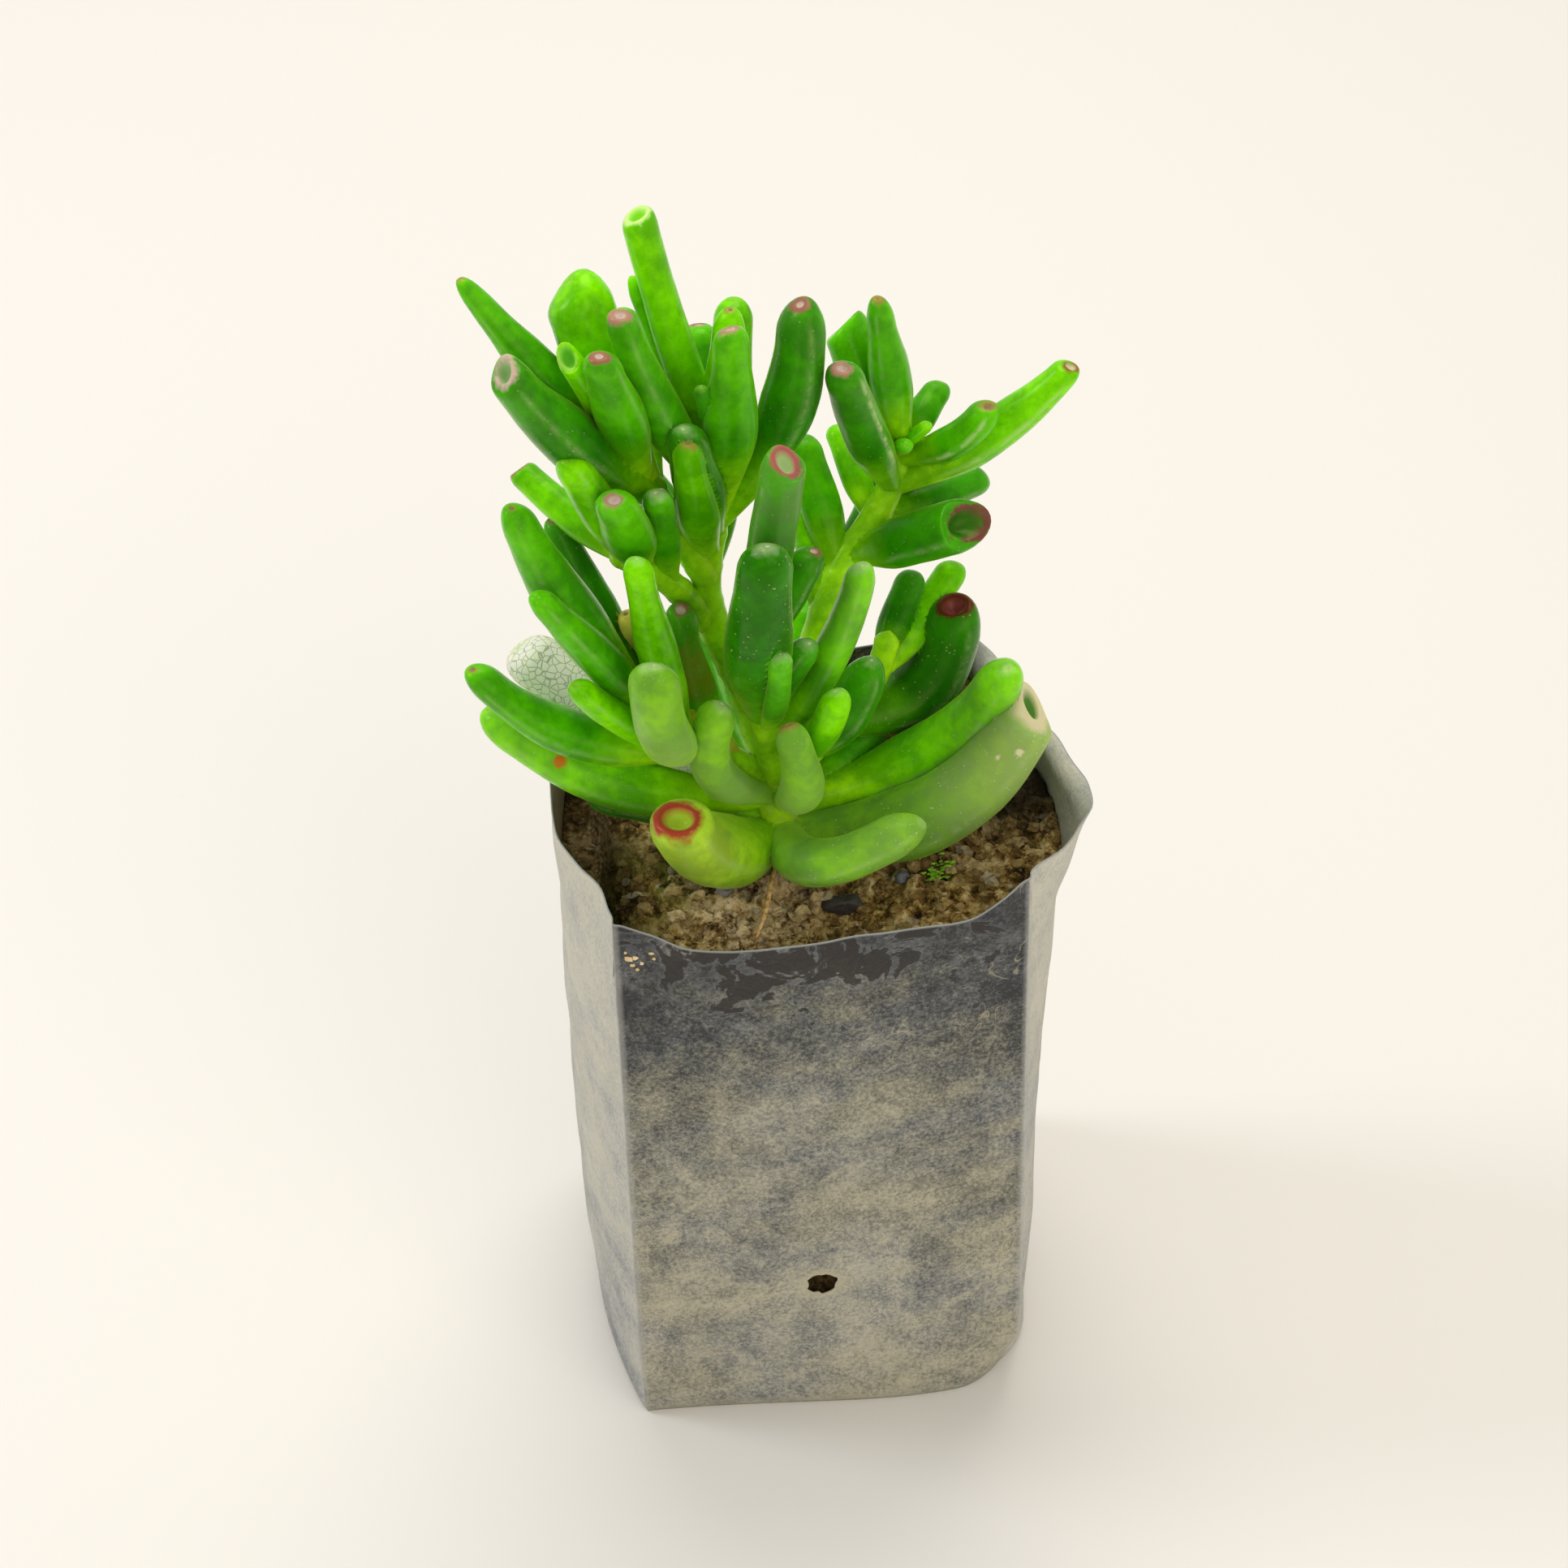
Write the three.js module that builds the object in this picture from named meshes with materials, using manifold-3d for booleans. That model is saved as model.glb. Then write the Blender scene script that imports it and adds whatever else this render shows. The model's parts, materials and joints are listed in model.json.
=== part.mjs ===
// Gollum jade, a jade plant with finger leaves, growing in a black film nursery bag.
// Millimetres, +Z up. The origin is on the floor under the middle of the bag, and the bag's
// front panel looks toward -Y. The plant is one trunk with leafy shoots that fork from it.
import * as THREE from 'three';
import { mergeVertices } from 'three/addons/utils/BufferGeometryUtils.js';
import Module from 'manifold-3d';

const wasm = await Module();
wasm.setup();

// Bag: a side gusset bag, folded flat from film, stood up and filled.
const panelWidth = 80;
const bagDepth = 76;
const bagHeight = 146;
const filmThickness = 0.8;
const panelSteps = 7;
const gussetSteps = 7;
const frontBow = 3.5;
const gussetBow = 7.5;
const drainHoleSize = 6.6;
const drainHoleHeight = 40.6;
const drainHoleOffset = -2;

// Soil: its top lies a thumb's width under the rim, in broad swells and small clods, with a low
// mound round the trunk.
const soilHeight = 133;
const swellLength = 52;
const clodLength = 12;
const lumpHeight = 1.2;
const moundHeight = 1.2;
const moundRadius = 18;
const soilGap = 0.5;

// Room left between neighbours that touch or nearly touch.
const clearance = 0.3;

// Finger leaves, as shares of their own width, thickness and length. The finger is `rootShare` of
// its width at the root, full at `fullAt`, and draws in to its neck from `neckAt` on.
const leafSides = 8;
const leafThickness = 0.88;
const rootShare = 0.56;
const fullAt = 0.45;
const neckAt = 0.5;
const longestCap = 0.3;
const mouthSlant = 0.35;
const dishWidth = 0.55;
const dishDepth = 0.5;
const stemSides = 8;

const looks = {
  film: { color: 0x55554f, roughness: 0.5 },
  soil: { color: 0x6b5233, roughness: 0.95 },
  leaf: { color: 0x4d9a1a, roughness: 0.4 },
  youngLeaf: { color: 0x63ad24, roughness: 0.4 },
  lowLeaf: { color: 0x6f9a3a, roughness: 0.45 },
  darkStone: { color: 0x3a3733, roughness: 0.7 },
  greyStone: { color: 0x84827c, roughness: 0.85 },
};

const group = new THREE.Group();
const { degToRad, smoothstep } = THREE.MathUtils;

function random(seed) {
  let state = seed;
  return () => {
    state = (state * 1664525 + 1013904223) % 4294967296;
    return state / 4294967296;
  };
}

// One closed skin over rings of equal count, with a fan to the middle of the first and last ring.
// From the ring `returnsAt` on the skin comes back inside itself, and its squares are split along
// the other diagonal there, so that both faces of a thin wall are split alike.
function skin(rings, returnsAt = Infinity) {
  const count = rings[0].length;
  const positions = rings.flat().flatMap((point) => point.toArray());
  const index = [];
  for (let r = 0; r < rings.length - 1; r += 1) {
    for (let s = 0; s < count; s += 1) {
      const a = r * count + s;
      const b = r * count + ((s + 1) % count);
      if (r < returnsAt) {
        index.push(a, b, b + count, a, b + count, a + count);
      } else {
        index.push(a, b, a + count, b, b + count, a + count);
      }
    }
  }
  [rings[0], rings[rings.length - 1]].forEach((ring, end) => {
    const middle = positions.length / 3;
    const centre = new THREE.Vector3();
    ring.forEach((point) => centre.addScaledVector(point, 1 / count));
    positions.push(...centre.toArray());
    const first = end === 0 ? 0 : (rings.length - 1) * count;
    for (let s = 0; s < count; s += 1) {
      const a = first + s;
      const b = first + ((s + 1) % count);
      index.push(...(end === 0 ? [middle, b, a] : [middle, a, b]));
    }
  });
  const geometry = new THREE.BufferGeometry();
  geometry.setAttribute('position', new THREE.Float32BufferAttribute(positions, 3));
  geometry.setIndex(index);
  return geometry;
}

function toSolid(geometry) {
  const plain = geometry.clone();
  plain.deleteAttribute('normal');
  plain.deleteAttribute('uv');
  const merged = mergeVertices(plain, 1e-4);
  return new wasm.Manifold(new wasm.Mesh({
    numProp: 3,
    vertProperties: new Float32Array(merged.attributes.position.array),
    triVerts: new Uint32Array(merged.index.array),
  }));
}

function toGeometry(solid) {
  const mesh = solid.getMesh();
  const geometry = new THREE.BufferGeometry();
  geometry.setAttribute('position', new THREE.Float32BufferAttribute(mesh.vertProperties, 3));
  geometry.setIndex(Array.from(mesh.triVerts));
  return geometry;
}

// A cut can leave scraps beside the main body. Only the largest piece is kept.
function largestPiece(solid) {
  const pieces = solid.decompose();
  return pieces.reduce((best, piece) => (piece.volume() > best.volume() ? piece : best));
}

function addMesh(name, geometry, look) {
  const material = new THREE.MeshStandardMaterial({ ...look, metalness: 0 });
  const mesh = new THREE.Mesh(geometry, material);
  mesh.name = name;
  group.add(mesh);
}

// Bag outline at one height: four crisp creases, with the panels and gussets bowed out between.
// The rim flares at both gussets, and the foot tucks in where the film is folded under.
const creases = [
  [-panelWidth / 2, -bagDepth / 2],
  [panelWidth / 2, -bagDepth / 2],
  [panelWidth / 2, bagDepth / 2],
  [-panelWidth / 2, bagDepth / 2],
].map(([x, y]) => new THREE.Vector2(x, y));
// The four sides in turn: how far each bows out at the foot, at half height and at the rim, how
// far its rim rises or dips at the middle, and how far forward the rim's bow leans (1 is even).
const sides = [
  { foot: 3, middle: frontBow, rim: 5, lift: -3.9, lean: 0.8 },
  { foot: 6.5, middle: gussetBow + 1, rim: 14.5, lift: 0, lean: 0.55 },
  { foot: 3, middle: frontBow, rim: -2.5, lift: -1, lean: 1.1 },
  { foot: 6.5, middle: gussetBow, rim: 9, lift: 0.5, lean: 1 },
];
const rimCrease = 1.5;
const archFullness = 0.8;
// Shares of the height at which the foot's bow has passed into the panel's, and the rim's begins.
const footEnd = 0.3;
const rimStart = 0.68;

function bowAt(side, level) {
  const low = smoothstep(level, 0, footEnd);
  const high = smoothstep(level, rimStart, 1);
  return side.foot + (side.middle - side.foot) * low + (side.rim - side.middle) * high;
}

function bagRing(level, inset) {
  const ring = [];
  creases.forEach((corner, i) => {
    const next = creases[(i + 1) % 4];
    const side = sides[i];
    const lean = 1 + (side.lean - 1) * smoothstep(level, rimStart, 1);
    const out = new THREE.Vector2(next.y - corner.y, corner.x - next.x).normalize();
    const steps = i % 2 === 0 ? panelSteps : gussetSteps;
    for (let s = 0; s < steps; s += 1) {
      const along = s / steps;
      const arch = Math.sin(Math.PI * along ** lean) ** archFullness;
      const point = corner.clone().lerp(next, along);
      point.addScaledVector(out, bowAt(side, level) * arch);
      const rim = bagHeight + rimCrease + (side.lift - rimCrease) * arch;
      ring.push(new THREE.Vector3(point.x, point.y, rim * level));
    }
  });
  return insetRing(ring, inset);
}

// Moves each point of a ring inward, square to its neighbours, with no spike at a sharp crease.
function insetRing(ring, distance) {
  return ring.map((point, i) => {
    const before = ring[(i + ring.length - 1) % ring.length];
    const after = ring[(i + 1) % ring.length];
    const first = new THREE.Vector2(point.y - before.y, before.x - point.x).normalize();
    const second = new THREE.Vector2(after.y - point.y, point.x - after.x).normalize();
    const out = first.clone().add(second).normalize();
    const reach = distance / Math.max(out.dot(second), 0.6);
    return new THREE.Vector3(point.x - out.x * reach, point.y - out.y * reach, point.z);
  });
}

// The foot is rounded where the film folds under: drawn in at the floor, full a little higher.
function footRing(height, tuck, inset) {
  return insetRing(bagRing(0, inset), tuck).map((p) => new THREE.Vector3(p.x, p.y, height));
}

// Rings of the wall as shares of the height, and of the foot as height and tuck in millimetres.
const soilLevel = soilHeight / bagHeight;
const levels = [0.09, 0.22, 0.4, 0.6, 0.78, 0.86, soilLevel, 0.96, 1];
const foot = [[0, 2], [0.8, 0.8], [3, 0.2]];

function makeBag() {
  const outer = [
    ...foot.map(([height, tuck]) => footRing(height, tuck, 0)),
    ...levels.map((level) => bagRing(level, 0)),
  ];
  const inner = [
    ...foot.map(([height, tuck]) => footRing(height + filmThickness, tuck, filmThickness)),
    ...levels.map((level) => bagRing(level, filmThickness)),
  ];
  const punch = new THREE.CylinderGeometry(drainHoleSize / 2, drainHoleSize / 2, bagDepth * 2, 10);
  punch.translate(drainHoleOffset, 0, drainHoleHeight);
  return toSolid(skin([...outer, ...inner.reverse()], outer.length)).subtract(toSolid(punch));
}

function soilRelief(x, y) {
  const swell = (2 * Math.PI) / swellLength;
  const clod = (2 * Math.PI) / clodLength;
  const swells = Math.sin(x * swell + 1) * Math.cos(y * swell);
  const clods = Math.sin((x + y / 2) * clod) * Math.sin((y - x / 3) * clod);
  const mound = moundHeight * Math.exp(-(x * x + y * y) / (moundRadius * moundRadius));
  return lumpHeight * (swells + clods) + mound;
}

// Soil fills the bag with a hair's gap to the film. Its top closes in by rings to the middle.
function makeSoil() {
  const inset = filmThickness + soilGap;
  const rings = [
    ...foot.map(([height, tuck]) => footRing(height + inset, tuck, inset)),
    ...levels.filter((level) => level < soilLevel).map((level) => bagRing(level, inset)),
  ];
  const edge = bagRing(soilLevel, inset);
  [1, 0.86, 0.7, 0.54, 0.38, 0.2].forEach((reach) => {
    rings.push(edge.map((p) => {
      const x = p.x * reach;
      const y = p.y * reach;
      return new THREE.Vector3(x, y, soilHeight + soilRelief(x, y));
    }));
  });
  return toSolid(skin(rings));
}

// A ring across a curve. Width runs along `side`, thickness along `over`.
function ringAt(centre, side, over, radius, thickness, along, slant, count) {
  const ring = [];
  for (let s = 0; s < count; s += 1) {
    const angle = (2 * Math.PI * s) / count;
    const lift = Math.sin(angle) * radius * thickness;
    ring.push(centre.clone()
      .addScaledVector(side, Math.cos(angle) * radius)
      .addScaledVector(over, lift)
      .addScaledVector(along, -lift * slant));
  }
  return ring;
}

// A finger leaf from its root: turn is degrees round from +X toward +Y and rise degrees above
// level, both for the line from root to tip. The middle sags below that line and sways to its
// left. `wide` is the full width, `neck` the width where the rounded cap starts, `cap` the cap's
// length and `mouth` the width of the dished mouth that ends it, all in millimetres. `full` is
// the share of the length where a finger that fills out late reaches its width.
// `extra` fattens the finger, which gives the room that its neighbours leave clear.
function fingerLeaf(root, leaf, extra = 0) {
  const turn = degToRad(leaf.turn);
  const rise = degToRad(leaf.rise);
  const line = new THREE.Vector3(
    Math.cos(turn) * Math.cos(rise),
    Math.sin(turn) * Math.cos(rise),
    Math.sin(rise),
  );
  const left = new THREE.Vector3(-Math.sin(turn), Math.cos(turn), 0);
  const over = new THREE.Vector3().crossVectors(line, left);
  const bend = over.clone().multiplyScalar(-(leaf.sag ?? 0));
  bend.addScaledVector(left, leaf.sway ?? 0);
  const half = leaf.wide / 2;
  const mouth = leaf.mouth / 2;
  const neck = (leaf.neck ?? leaf.wide) / 2;
  const share = leaf.rootShare ?? rootShare;
  const capStart = 1 - Math.min(longestCap, (leaf.cap ?? half) / leaf.long);
  const full = leaf.full ?? fullAt;
  const body = (t) => half * (share + (1 - share) * smoothstep(t, 0, full))
    + (neck - half) * smoothstep(t, neckAt, capStart);
  const radiusAt = (t) => {
    if (t <= capStart) {
      return body(t);
    }
    const u = (t - capStart) / (1 - capStart);
    return mouth + (body(capStart) - mouth) * Math.sqrt(1 - u * u);
  };
  const place = (t) => root.clone()
    .addScaledVector(line, leaf.long * t)
    .addScaledVector(bend, 4 * t * (1 - t));
  const headingAt = (t) => line.clone().multiplyScalar(leaf.long)
    .addScaledVector(bend, 4 * (1 - 2 * t)).normalize();
  const ring = (t, radius, back, slant) => {
    const heading = headingAt(t);
    const side = new THREE.Vector3().crossVectors(over, heading).normalize();
    const across = new THREE.Vector3().crossVectors(heading, side).normalize();
    const centre = place(t).addScaledVector(heading, -back);
    return ringAt(centre, side, across, radius, leafThickness, heading, slant, leafSides);
  };
  const capMiddle = capStart + (1 - capStart) * 0.62;
  const outside = [0, capStart * 0.28, capStart * 0.62, capStart, capMiddle];
  const rings = outside.map((t) => ring(t, radiusAt(t) + extra, 0, 0));
  rings.push(ring(1, mouth + extra, -extra, mouthSlant));
  if (extra === 0) {
    rings.push(ring(1, mouth * dishWidth, mouth * dishDepth, mouthSlant));
  }
  return toSolid(skin(rings));
}

// A stem through its points, round, with a radius that runs from foot to head.
function stemCurve(stem) {
  const points = stem.path.map(([x, y, z]) => new THREE.Vector3(x, y, z));
  return new THREE.CatmullRomCurve3(points, false, 'centripetal');
}

function stemSolid(stem, extra = 0) {
  const curve = stemCurve(stem);
  const steps = stem.path.length * 2 - 1;
  const rings = [];
  for (let i = 0; i <= steps; i += 1) {
    const t = i / steps;
    const heading = curve.getTangentAt(t);
    const side = new THREE.Vector3(1, 0, 0).addScaledVector(heading, -heading.x).normalize();
    const across = new THREE.Vector3().crossVectors(heading, side);
    const radius = stem.footRadius + (stem.headRadius - stem.footRadius) * t + extra;
    const taper = i === steps ? 0.5 : 1;
    rings.push(ringAt(curve.getPointAt(t), side, across, radius * taper, 1, heading, 0, stemSides));
  }
  return toSolid(skin(rings));
}

function rootOf(stem, at) {
  const curve = stemCurve(stem);
  return curve.getPointAt(Math.min(at / curve.getLength(), 1));
}

// A shoot's true solid, or with `extra` the fattened one that its neighbours are kept out of.
function shootSolid(shoot, extra = 0) {
  const pieces = [stemSolid(shoot.stem, extra)];
  shoot.leaves.forEach((leaf) => pieces.push(fingerLeaf(rootOf(shoot.stem, leaf.at), leaf, extra)));
  return pieces.reduce((whole, piece) => whole.add(piece));
}

// The trunk with its low leaves, then the shoots. `at` is a leaf's place up its stem. Rows of two
// or more leaves at the end of a shoot fill the side that faces away from the front panel.
const shoots = [
  {
    name: 'trunk',
    look: looks.lowLeaf,
    stem: {
      path: [[-4, -5, 108], [-4, -8, 134], [-5, -8, 146], [-4, -5, 157]],
      footRadius: 4.6,
      headRadius: 4,
    },
    leaves: [
      { at: 38, turn: 358, rise: 35, long: 55, wide: 11.5, neck: 10.5, mouth: 3, sag: 13.5, sway: 8 },
      { at: 33, turn: 0, rise: 27.5, long: 56, wide: 16, neck: 14, mouth: 10.5, cap: 4, sag: 10, sway: -5 },
      { at: 32, turn: 327, rise: 26, long: 34, wide: 10.5, neck: 9.5, mouth: 3, sway: -12, rootShare: 0.85 },
      { at: 32, turn: 220, rise: 39, long: 36, wide: 16.5, neck: 14, mouth: 10, cap: 4, sag: 6 },
      { at: 42, turn: 169, rise: 18, long: 59, wide: 12.5, neck: 10, mouth: 4, sag: 9 },
      { at: 36, turn: 163, rise: 2, long: 38, wide: 11, mouth: 4, sag: 1 },
      { at: 41, turn: 230, rise: 64.5, long: 41, wide: 9, neck: 7.5, mouth: 3, sag: 7, sway: -4 },
      { at: 40, turn: 272, rise: 63.5, long: 39, wide: 8.8, neck: 6.5, mouth: 3, sag: 5.5, sway: 3 },
      { at: 40, turn: 75, rise: 22, long: 44, wide: 10, mouth: 4, sag: 4 },
      { at: 40, turn: 100, rise: 14, long: 46, wide: 10, mouth: 5, sag: 4 },
      { at: 36, turn: 40, rise: 14, long: 40, wide: 9, mouth: 4, sag: 2 },
    ],
  },
  {
    name: 'shoot_top',
    look: looks.leaf,
    stem: {
      path: [[-4, -3, 150], [-10, 1, 170], [-16, 6, 188], [-14, 9, 205], [-11, 10, 217]],
      footRadius: 3.8,
      headRadius: 2.6,
    },
    leaves: [
      { at: 64, turn: 197, rise: 70, long: 52, wide: 10, neck: 7, mouth: 4, cap: 4, sag: 2 },
      { at: 66, turn: 138, rise: 66, long: 46, wide: 5, neck: 4, mouth: 1.2, cap: 5 },
      { at: 68, turn: 137, rise: 72, long: 57, wide: 8, neck: 7, mouth: 6, cap: 3, sag: 1 },
      { at: 64, turn: 293, rise: 81, long: 45, wide: 11, neck: 7, mouth: 3.5, cap: 4.5, sag: 2 },
      { at: 66, turn: 52, rise: 82, long: 39, wide: 9, neck: 6.5, mouth: 2, cap: 6 },
      {
        at: 58, turn: 15, rise: 68, long: 50, wide: 13, neck: 10.5, mouth: 3, cap: 7,
        full: 0.68, sag: 6, rootShare: 0.4,
      },
      { at: 56, turn: 239, rise: 73, long: 34, wide: 10, neck: 8, mouth: 4 },
      { at: 52, turn: 250, rise: 72, long: 37, wide: 8.5, neck: 6, mouth: 2.5, cap: 5, sag: 2 },
      { at: 68, turn: 242, rise: 73, long: 30, wide: 3.5, mouth: 2 },
      { at: 60, turn: 88, rise: 35, long: 38, wide: 8, mouth: 4, sag: 2 },
      { at: 46, turn: 75, rise: 25, long: 34, wide: 8, mouth: 4, sag: 2 },
      { at: 52, turn: 125, rise: 24, long: 34, wide: 8, mouth: 4, sag: 2 },
      { at: 66, turn: 75, rise: 52, long: 36, wide: 8, mouth: 4, sag: 1 },
    ],
  },
  {
    name: 'shoot_far_left',
    look: looks.leaf,
    stem: {
      path: [[-16, 6, 194], [-21, 6, 206], [-25, 6, 216], [-29, 5, 224]],
      footRadius: 2.8,
      headRadius: 2.4,
    },
    leaves: [
      { at: 30, turn: 159, rise: 51, long: 51, wide: 9, neck: 6, mouth: 1.6, cap: 10, sag: 1 },
      {
        at: 28, turn: 127, rise: 64, long: 41, wide: 13.5, neck: 13, mouth: 4, cap: 6,
        full: 0.75, rootShare: 0.5,
      },
      { at: 24, turn: 188, rise: 67, long: 38, wide: 5.6, neck: 5.6, mouth: 4.6, cap: 2.5 },
      { at: 24, turn: 200, rise: 54, long: 48, wide: 12.5, neck: 9, mouth: 6.5, cap: 3.5, sag: 2 },
      { at: 30, turn: 234, rise: 72, long: 37, wide: 10, neck: 7.2, mouth: 3, cap: 5 },
      { at: 24, turn: 95, rise: 38, long: 36, wide: 8, mouth: 4, sag: 2 },
    ],
  },
  {
    name: 'shoot_left',
    look: looks.youngLeaf,
    stem: {
      path: [[-16, 5, 184], [-23, 3, 196], [-29, 0, 204], [-34, -3, 210]],
      footRadius: 2.8,
      headRadius: 2.4,
    },
    leaves: [
      { at: 26, turn: 133, rise: 15, long: 30, wide: 6.5, neck: 6, mouth: 5, cap: 2, sag: 1 },
      { at: 20, turn: 143, rise: 21, long: 20, wide: 4, mouth: 3 },
      { at: 28, turn: 203, rise: 69, long: 31, wide: 9, neck: 8.2, mouth: 3 },
      { at: 24, turn: 248, rise: 63, long: 30, wide: 9.6, neck: 8.4, mouth: 4.5, cap: 4 },
      { at: 14, turn: 252, rise: 74, long: 30, wide: 6.5, mouth: 4 },
    ],
  },
  {
    name: 'shoot_low_left',
    look: looks.leaf,
    stem: {
      path: [[-5, -6, 150], [-14, -7, 158], [-24, -9, 168], [-31, -9, 178]],
      footRadius: 3,
      headRadius: 2.6,
    },
    leaves: [
      { at: 20, turn: 174, rise: 27, long: 48, wide: 10, neck: 7.5, mouth: 3.5, cap: 5, sag: 7 },
      { at: 36, turn: 177, rise: 66, long: 56, wide: 12, neck: 8, mouth: 3, cap: 5, sag: 2 },
      { at: 30, turn: 201, rise: 60, long: 50, wide: 9, neck: 6.5, mouth: 3 },
      { at: 22, turn: 246, rise: 62, long: 42, wide: 10.5, neck: 9.8, mouth: 3, sag: 6 },
      { at: 32, turn: 130, rise: 53, long: 44, wide: 8, neck: 6, mouth: 2.5, sag: 1 },
      { at: 24, turn: 221, rise: 78.5, long: 53.5, wide: 8.5, neck: 6, mouth: 2.5, sag: 1 },
      { at: 18, turn: 206, rise: 48, long: 42, wide: 7, mouth: 3.5, sag: 2 },
      { at: 14, turn: 142, rise: 76.5, long: 35.5, wide: 10.5, neck: 7.5, mouth: 4, sag: 3 },
      { at: 10, turn: 162, rise: 60, long: 41.5, wide: 8.5, neck: 6.5, mouth: 3 },
      { at: 8, turn: 149, rise: 17, long: 51, wide: 13, neck: 12, mouth: 9, cap: 4, sag: 3 },
    ],
  },
  {
    name: 'shoot_front',
    look: looks.leaf,
    stem: {
      path: [[-4, -6, 150], [-6, -9, 162], [-8, -10, 178], [-8, -9, 196]],
      footRadius: 3.2,
      headRadius: 2.4,
    },
    leaves: [
      { at: 44, turn: 300, rise: 77.5, long: 48, wide: 9.2, neck: 8.8, mouth: 7.5, cap: 2.5 },
      { at: 24, turn: 270.5, rise: 73, long: 57, wide: 12.8, neck: 10.2, mouth: 3.5, sag: 3, sway: -1.5 },
      { at: 40, turn: 22, rise: 55, long: 22, wide: 8, mouth: 3 },
      { at: 14, turn: 351, rise: 68, long: 49, wide: 8.5, neck: 6.5, mouth: 2.5, sag: 2.5 },
      { at: 10, turn: 19, rise: 37, long: 27, wide: 11, neck: 9, mouth: 3, sag: 5 },
      { at: 20, turn: 275, rise: 62, long: 37, wide: 5, mouth: 2, sag: 3 },
      { at: 24, turn: 333, rise: 63, long: 22, wide: 7, mouth: 3 },
      { at: 12, turn: 315, rise: 56, long: 29, wide: 7.5, mouth: 3, sag: 4 },
    ],
  },
  {
    name: 'shoot_right',
    look: looks.leaf,
    stem: {
      path: [
        [-3, -4, 150], [2, 3, 166], [6, 8, 176], [11, 14, 186], [18, 19, 194], [22, 22, 200],
        [24, 24, 207],
      ],
      footRadius: 4.2,
      headRadius: 2.5,
    },
    leaves: [
      { at: 66, turn: 124, rise: 61, long: 30, wide: 10.5, neck: 10, mouth: 7, cap: 3 },
      { at: 73, turn: 157, rise: 83, long: 35, wide: 9.5, neck: 6, mouth: 2, cap: 6 },
      { at: 62, turn: 231, rise: 66.5, long: 43.5, wide: 9.5, neck: 8, mouth: 4, cap: 4, sag: 1 },
      { at: 77, turn: 324, rise: 52, long: 10, wide: 3.4, mouth: 1.6 },
      { at: 75, turn: 269, rise: 40, long: 10, wide: 4.2, mouth: 2 },
      { at: 72, turn: 47, rise: 24, long: 16, wide: 6.5, mouth: 3 },
      { at: 68, turn: 346, rise: 38, long: 22, wide: 7.5, neck: 7, mouth: 5, sag: 3 },
      { at: 62, turn: 4, rise: 33, long: 42, wide: 9.5, neck: 6.5, mouth: 4, cap: 2.5, sag: 3 },
      { at: 54, turn: 29, rise: -5, long: 28, wide: 8, mouth: 4 },
      { at: 46, turn: 334, rise: 30.5, long: 27.5, wide: 11, neck: 11.5, mouth: 10, cap: 3, rootShare: 0.42 },
      { at: 42, turn: 105, rise: 46, long: 28, wide: 8, mouth: 4 },
      { at: 54, turn: 103, rise: 24, long: 22, wide: 6, mouth: 3 },
      { at: 32, turn: 94, rise: 44, long: 24, wide: 7, mouth: 4 },
      { at: 64, turn: 75, rise: -18, long: 26, wide: 8, mouth: 4, sag: 2 },
      { at: 36, turn: 60, rise: 20, long: 32, wide: 8, mouth: 4, sag: 2 },
    ],
  },
  {
    name: 'shoot_low_right',
    look: looks.leaf,
    stem: {
      path: [[-2, -3, 149], [9, 5, 156], [17, 9, 163], [20, 11, 172]],
      footRadius: 3,
      headRadius: 2.4,
    },
    leaves: [
      { at: 26, turn: 43, rise: 24, long: 29, wide: 7.5, neck: 6.5, mouth: 3, sag: 1 },
      { at: 28, turn: 59, rise: 32, long: 21, wide: 7, mouth: 3 },
      { at: 14, turn: 23, rise: 33, long: 33, wide: 14, neck: 12.5, mouth: 6.5, cap: 4.5, sag: 11 },
    ],
  },
];

// Each shoot is kept clear of the ones before it by cutting away their fattened forms.
let soil = makeSoil();
let taken = null;
shoots.forEach((shoot) => {
  let solid = shootSolid(shoot);
  if (taken) {
    solid = largestPiece(solid.subtract(taken));
  }
  const fat = shootSolid(shoot, clearance);
  taken = taken ? taken.add(fat) : fat;
  addMesh(shoot.name, toGeometry(solid), shoot.look);
});

// The trunk's foot stands in a plain hole, and each stone in a nest of its own.
soil = soil.subtract(stemSolid(shoots[0].stem, clearance));

// Stones on the soil: middle, length, width and height, and the turn of the long side.
const stones = [
  { name: 'stone_dark', at: [6, -24], size: [9, 4.6, 4], turn: 10, look: looks.darkStone },
  { name: 'stone_grey_right', at: [18, -20], size: [3.4, 2.6, 2.6], turn: 30, look: looks.greyStone },
  { name: 'stone_grey_left', at: [-17, -19], size: [4, 3, 2.6], turn: 70, look: looks.greyStone },
];

// Share of a stone's height that its middle lies above the soil.
const stoneLift = 0.15;

function stoneSolid(stone, seed, extra = 0) {
  const draw = random(seed);
  const geometry = new THREE.IcosahedronGeometry(0.5, 1);
  geometry.deleteAttribute('normal');
  geometry.deleteAttribute('uv');
  const pebble = mergeVertices(geometry, 1e-4);
  const position = pebble.attributes.position;
  for (let i = 0; i < position.count; i += 1) {
    const chip = THREE.MathUtils.lerp(0.86, 1.1, draw());
    const point = new THREE.Vector3().fromBufferAttribute(position, i).multiplyScalar(chip);
    position.setXYZ(i, ...point.toArray());
  }
  const [length, width, height] = stone.size;
  pebble.scale(length + 2 * extra, width + 2 * extra, height + 2 * extra);
  pebble.rotateZ(degToRad(stone.turn));
  const [x, y] = stone.at;
  pebble.translate(x, y, soilHeight + soilRelief(x, y) + height * stoneLift);
  return toSolid(pebble);
}

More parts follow.
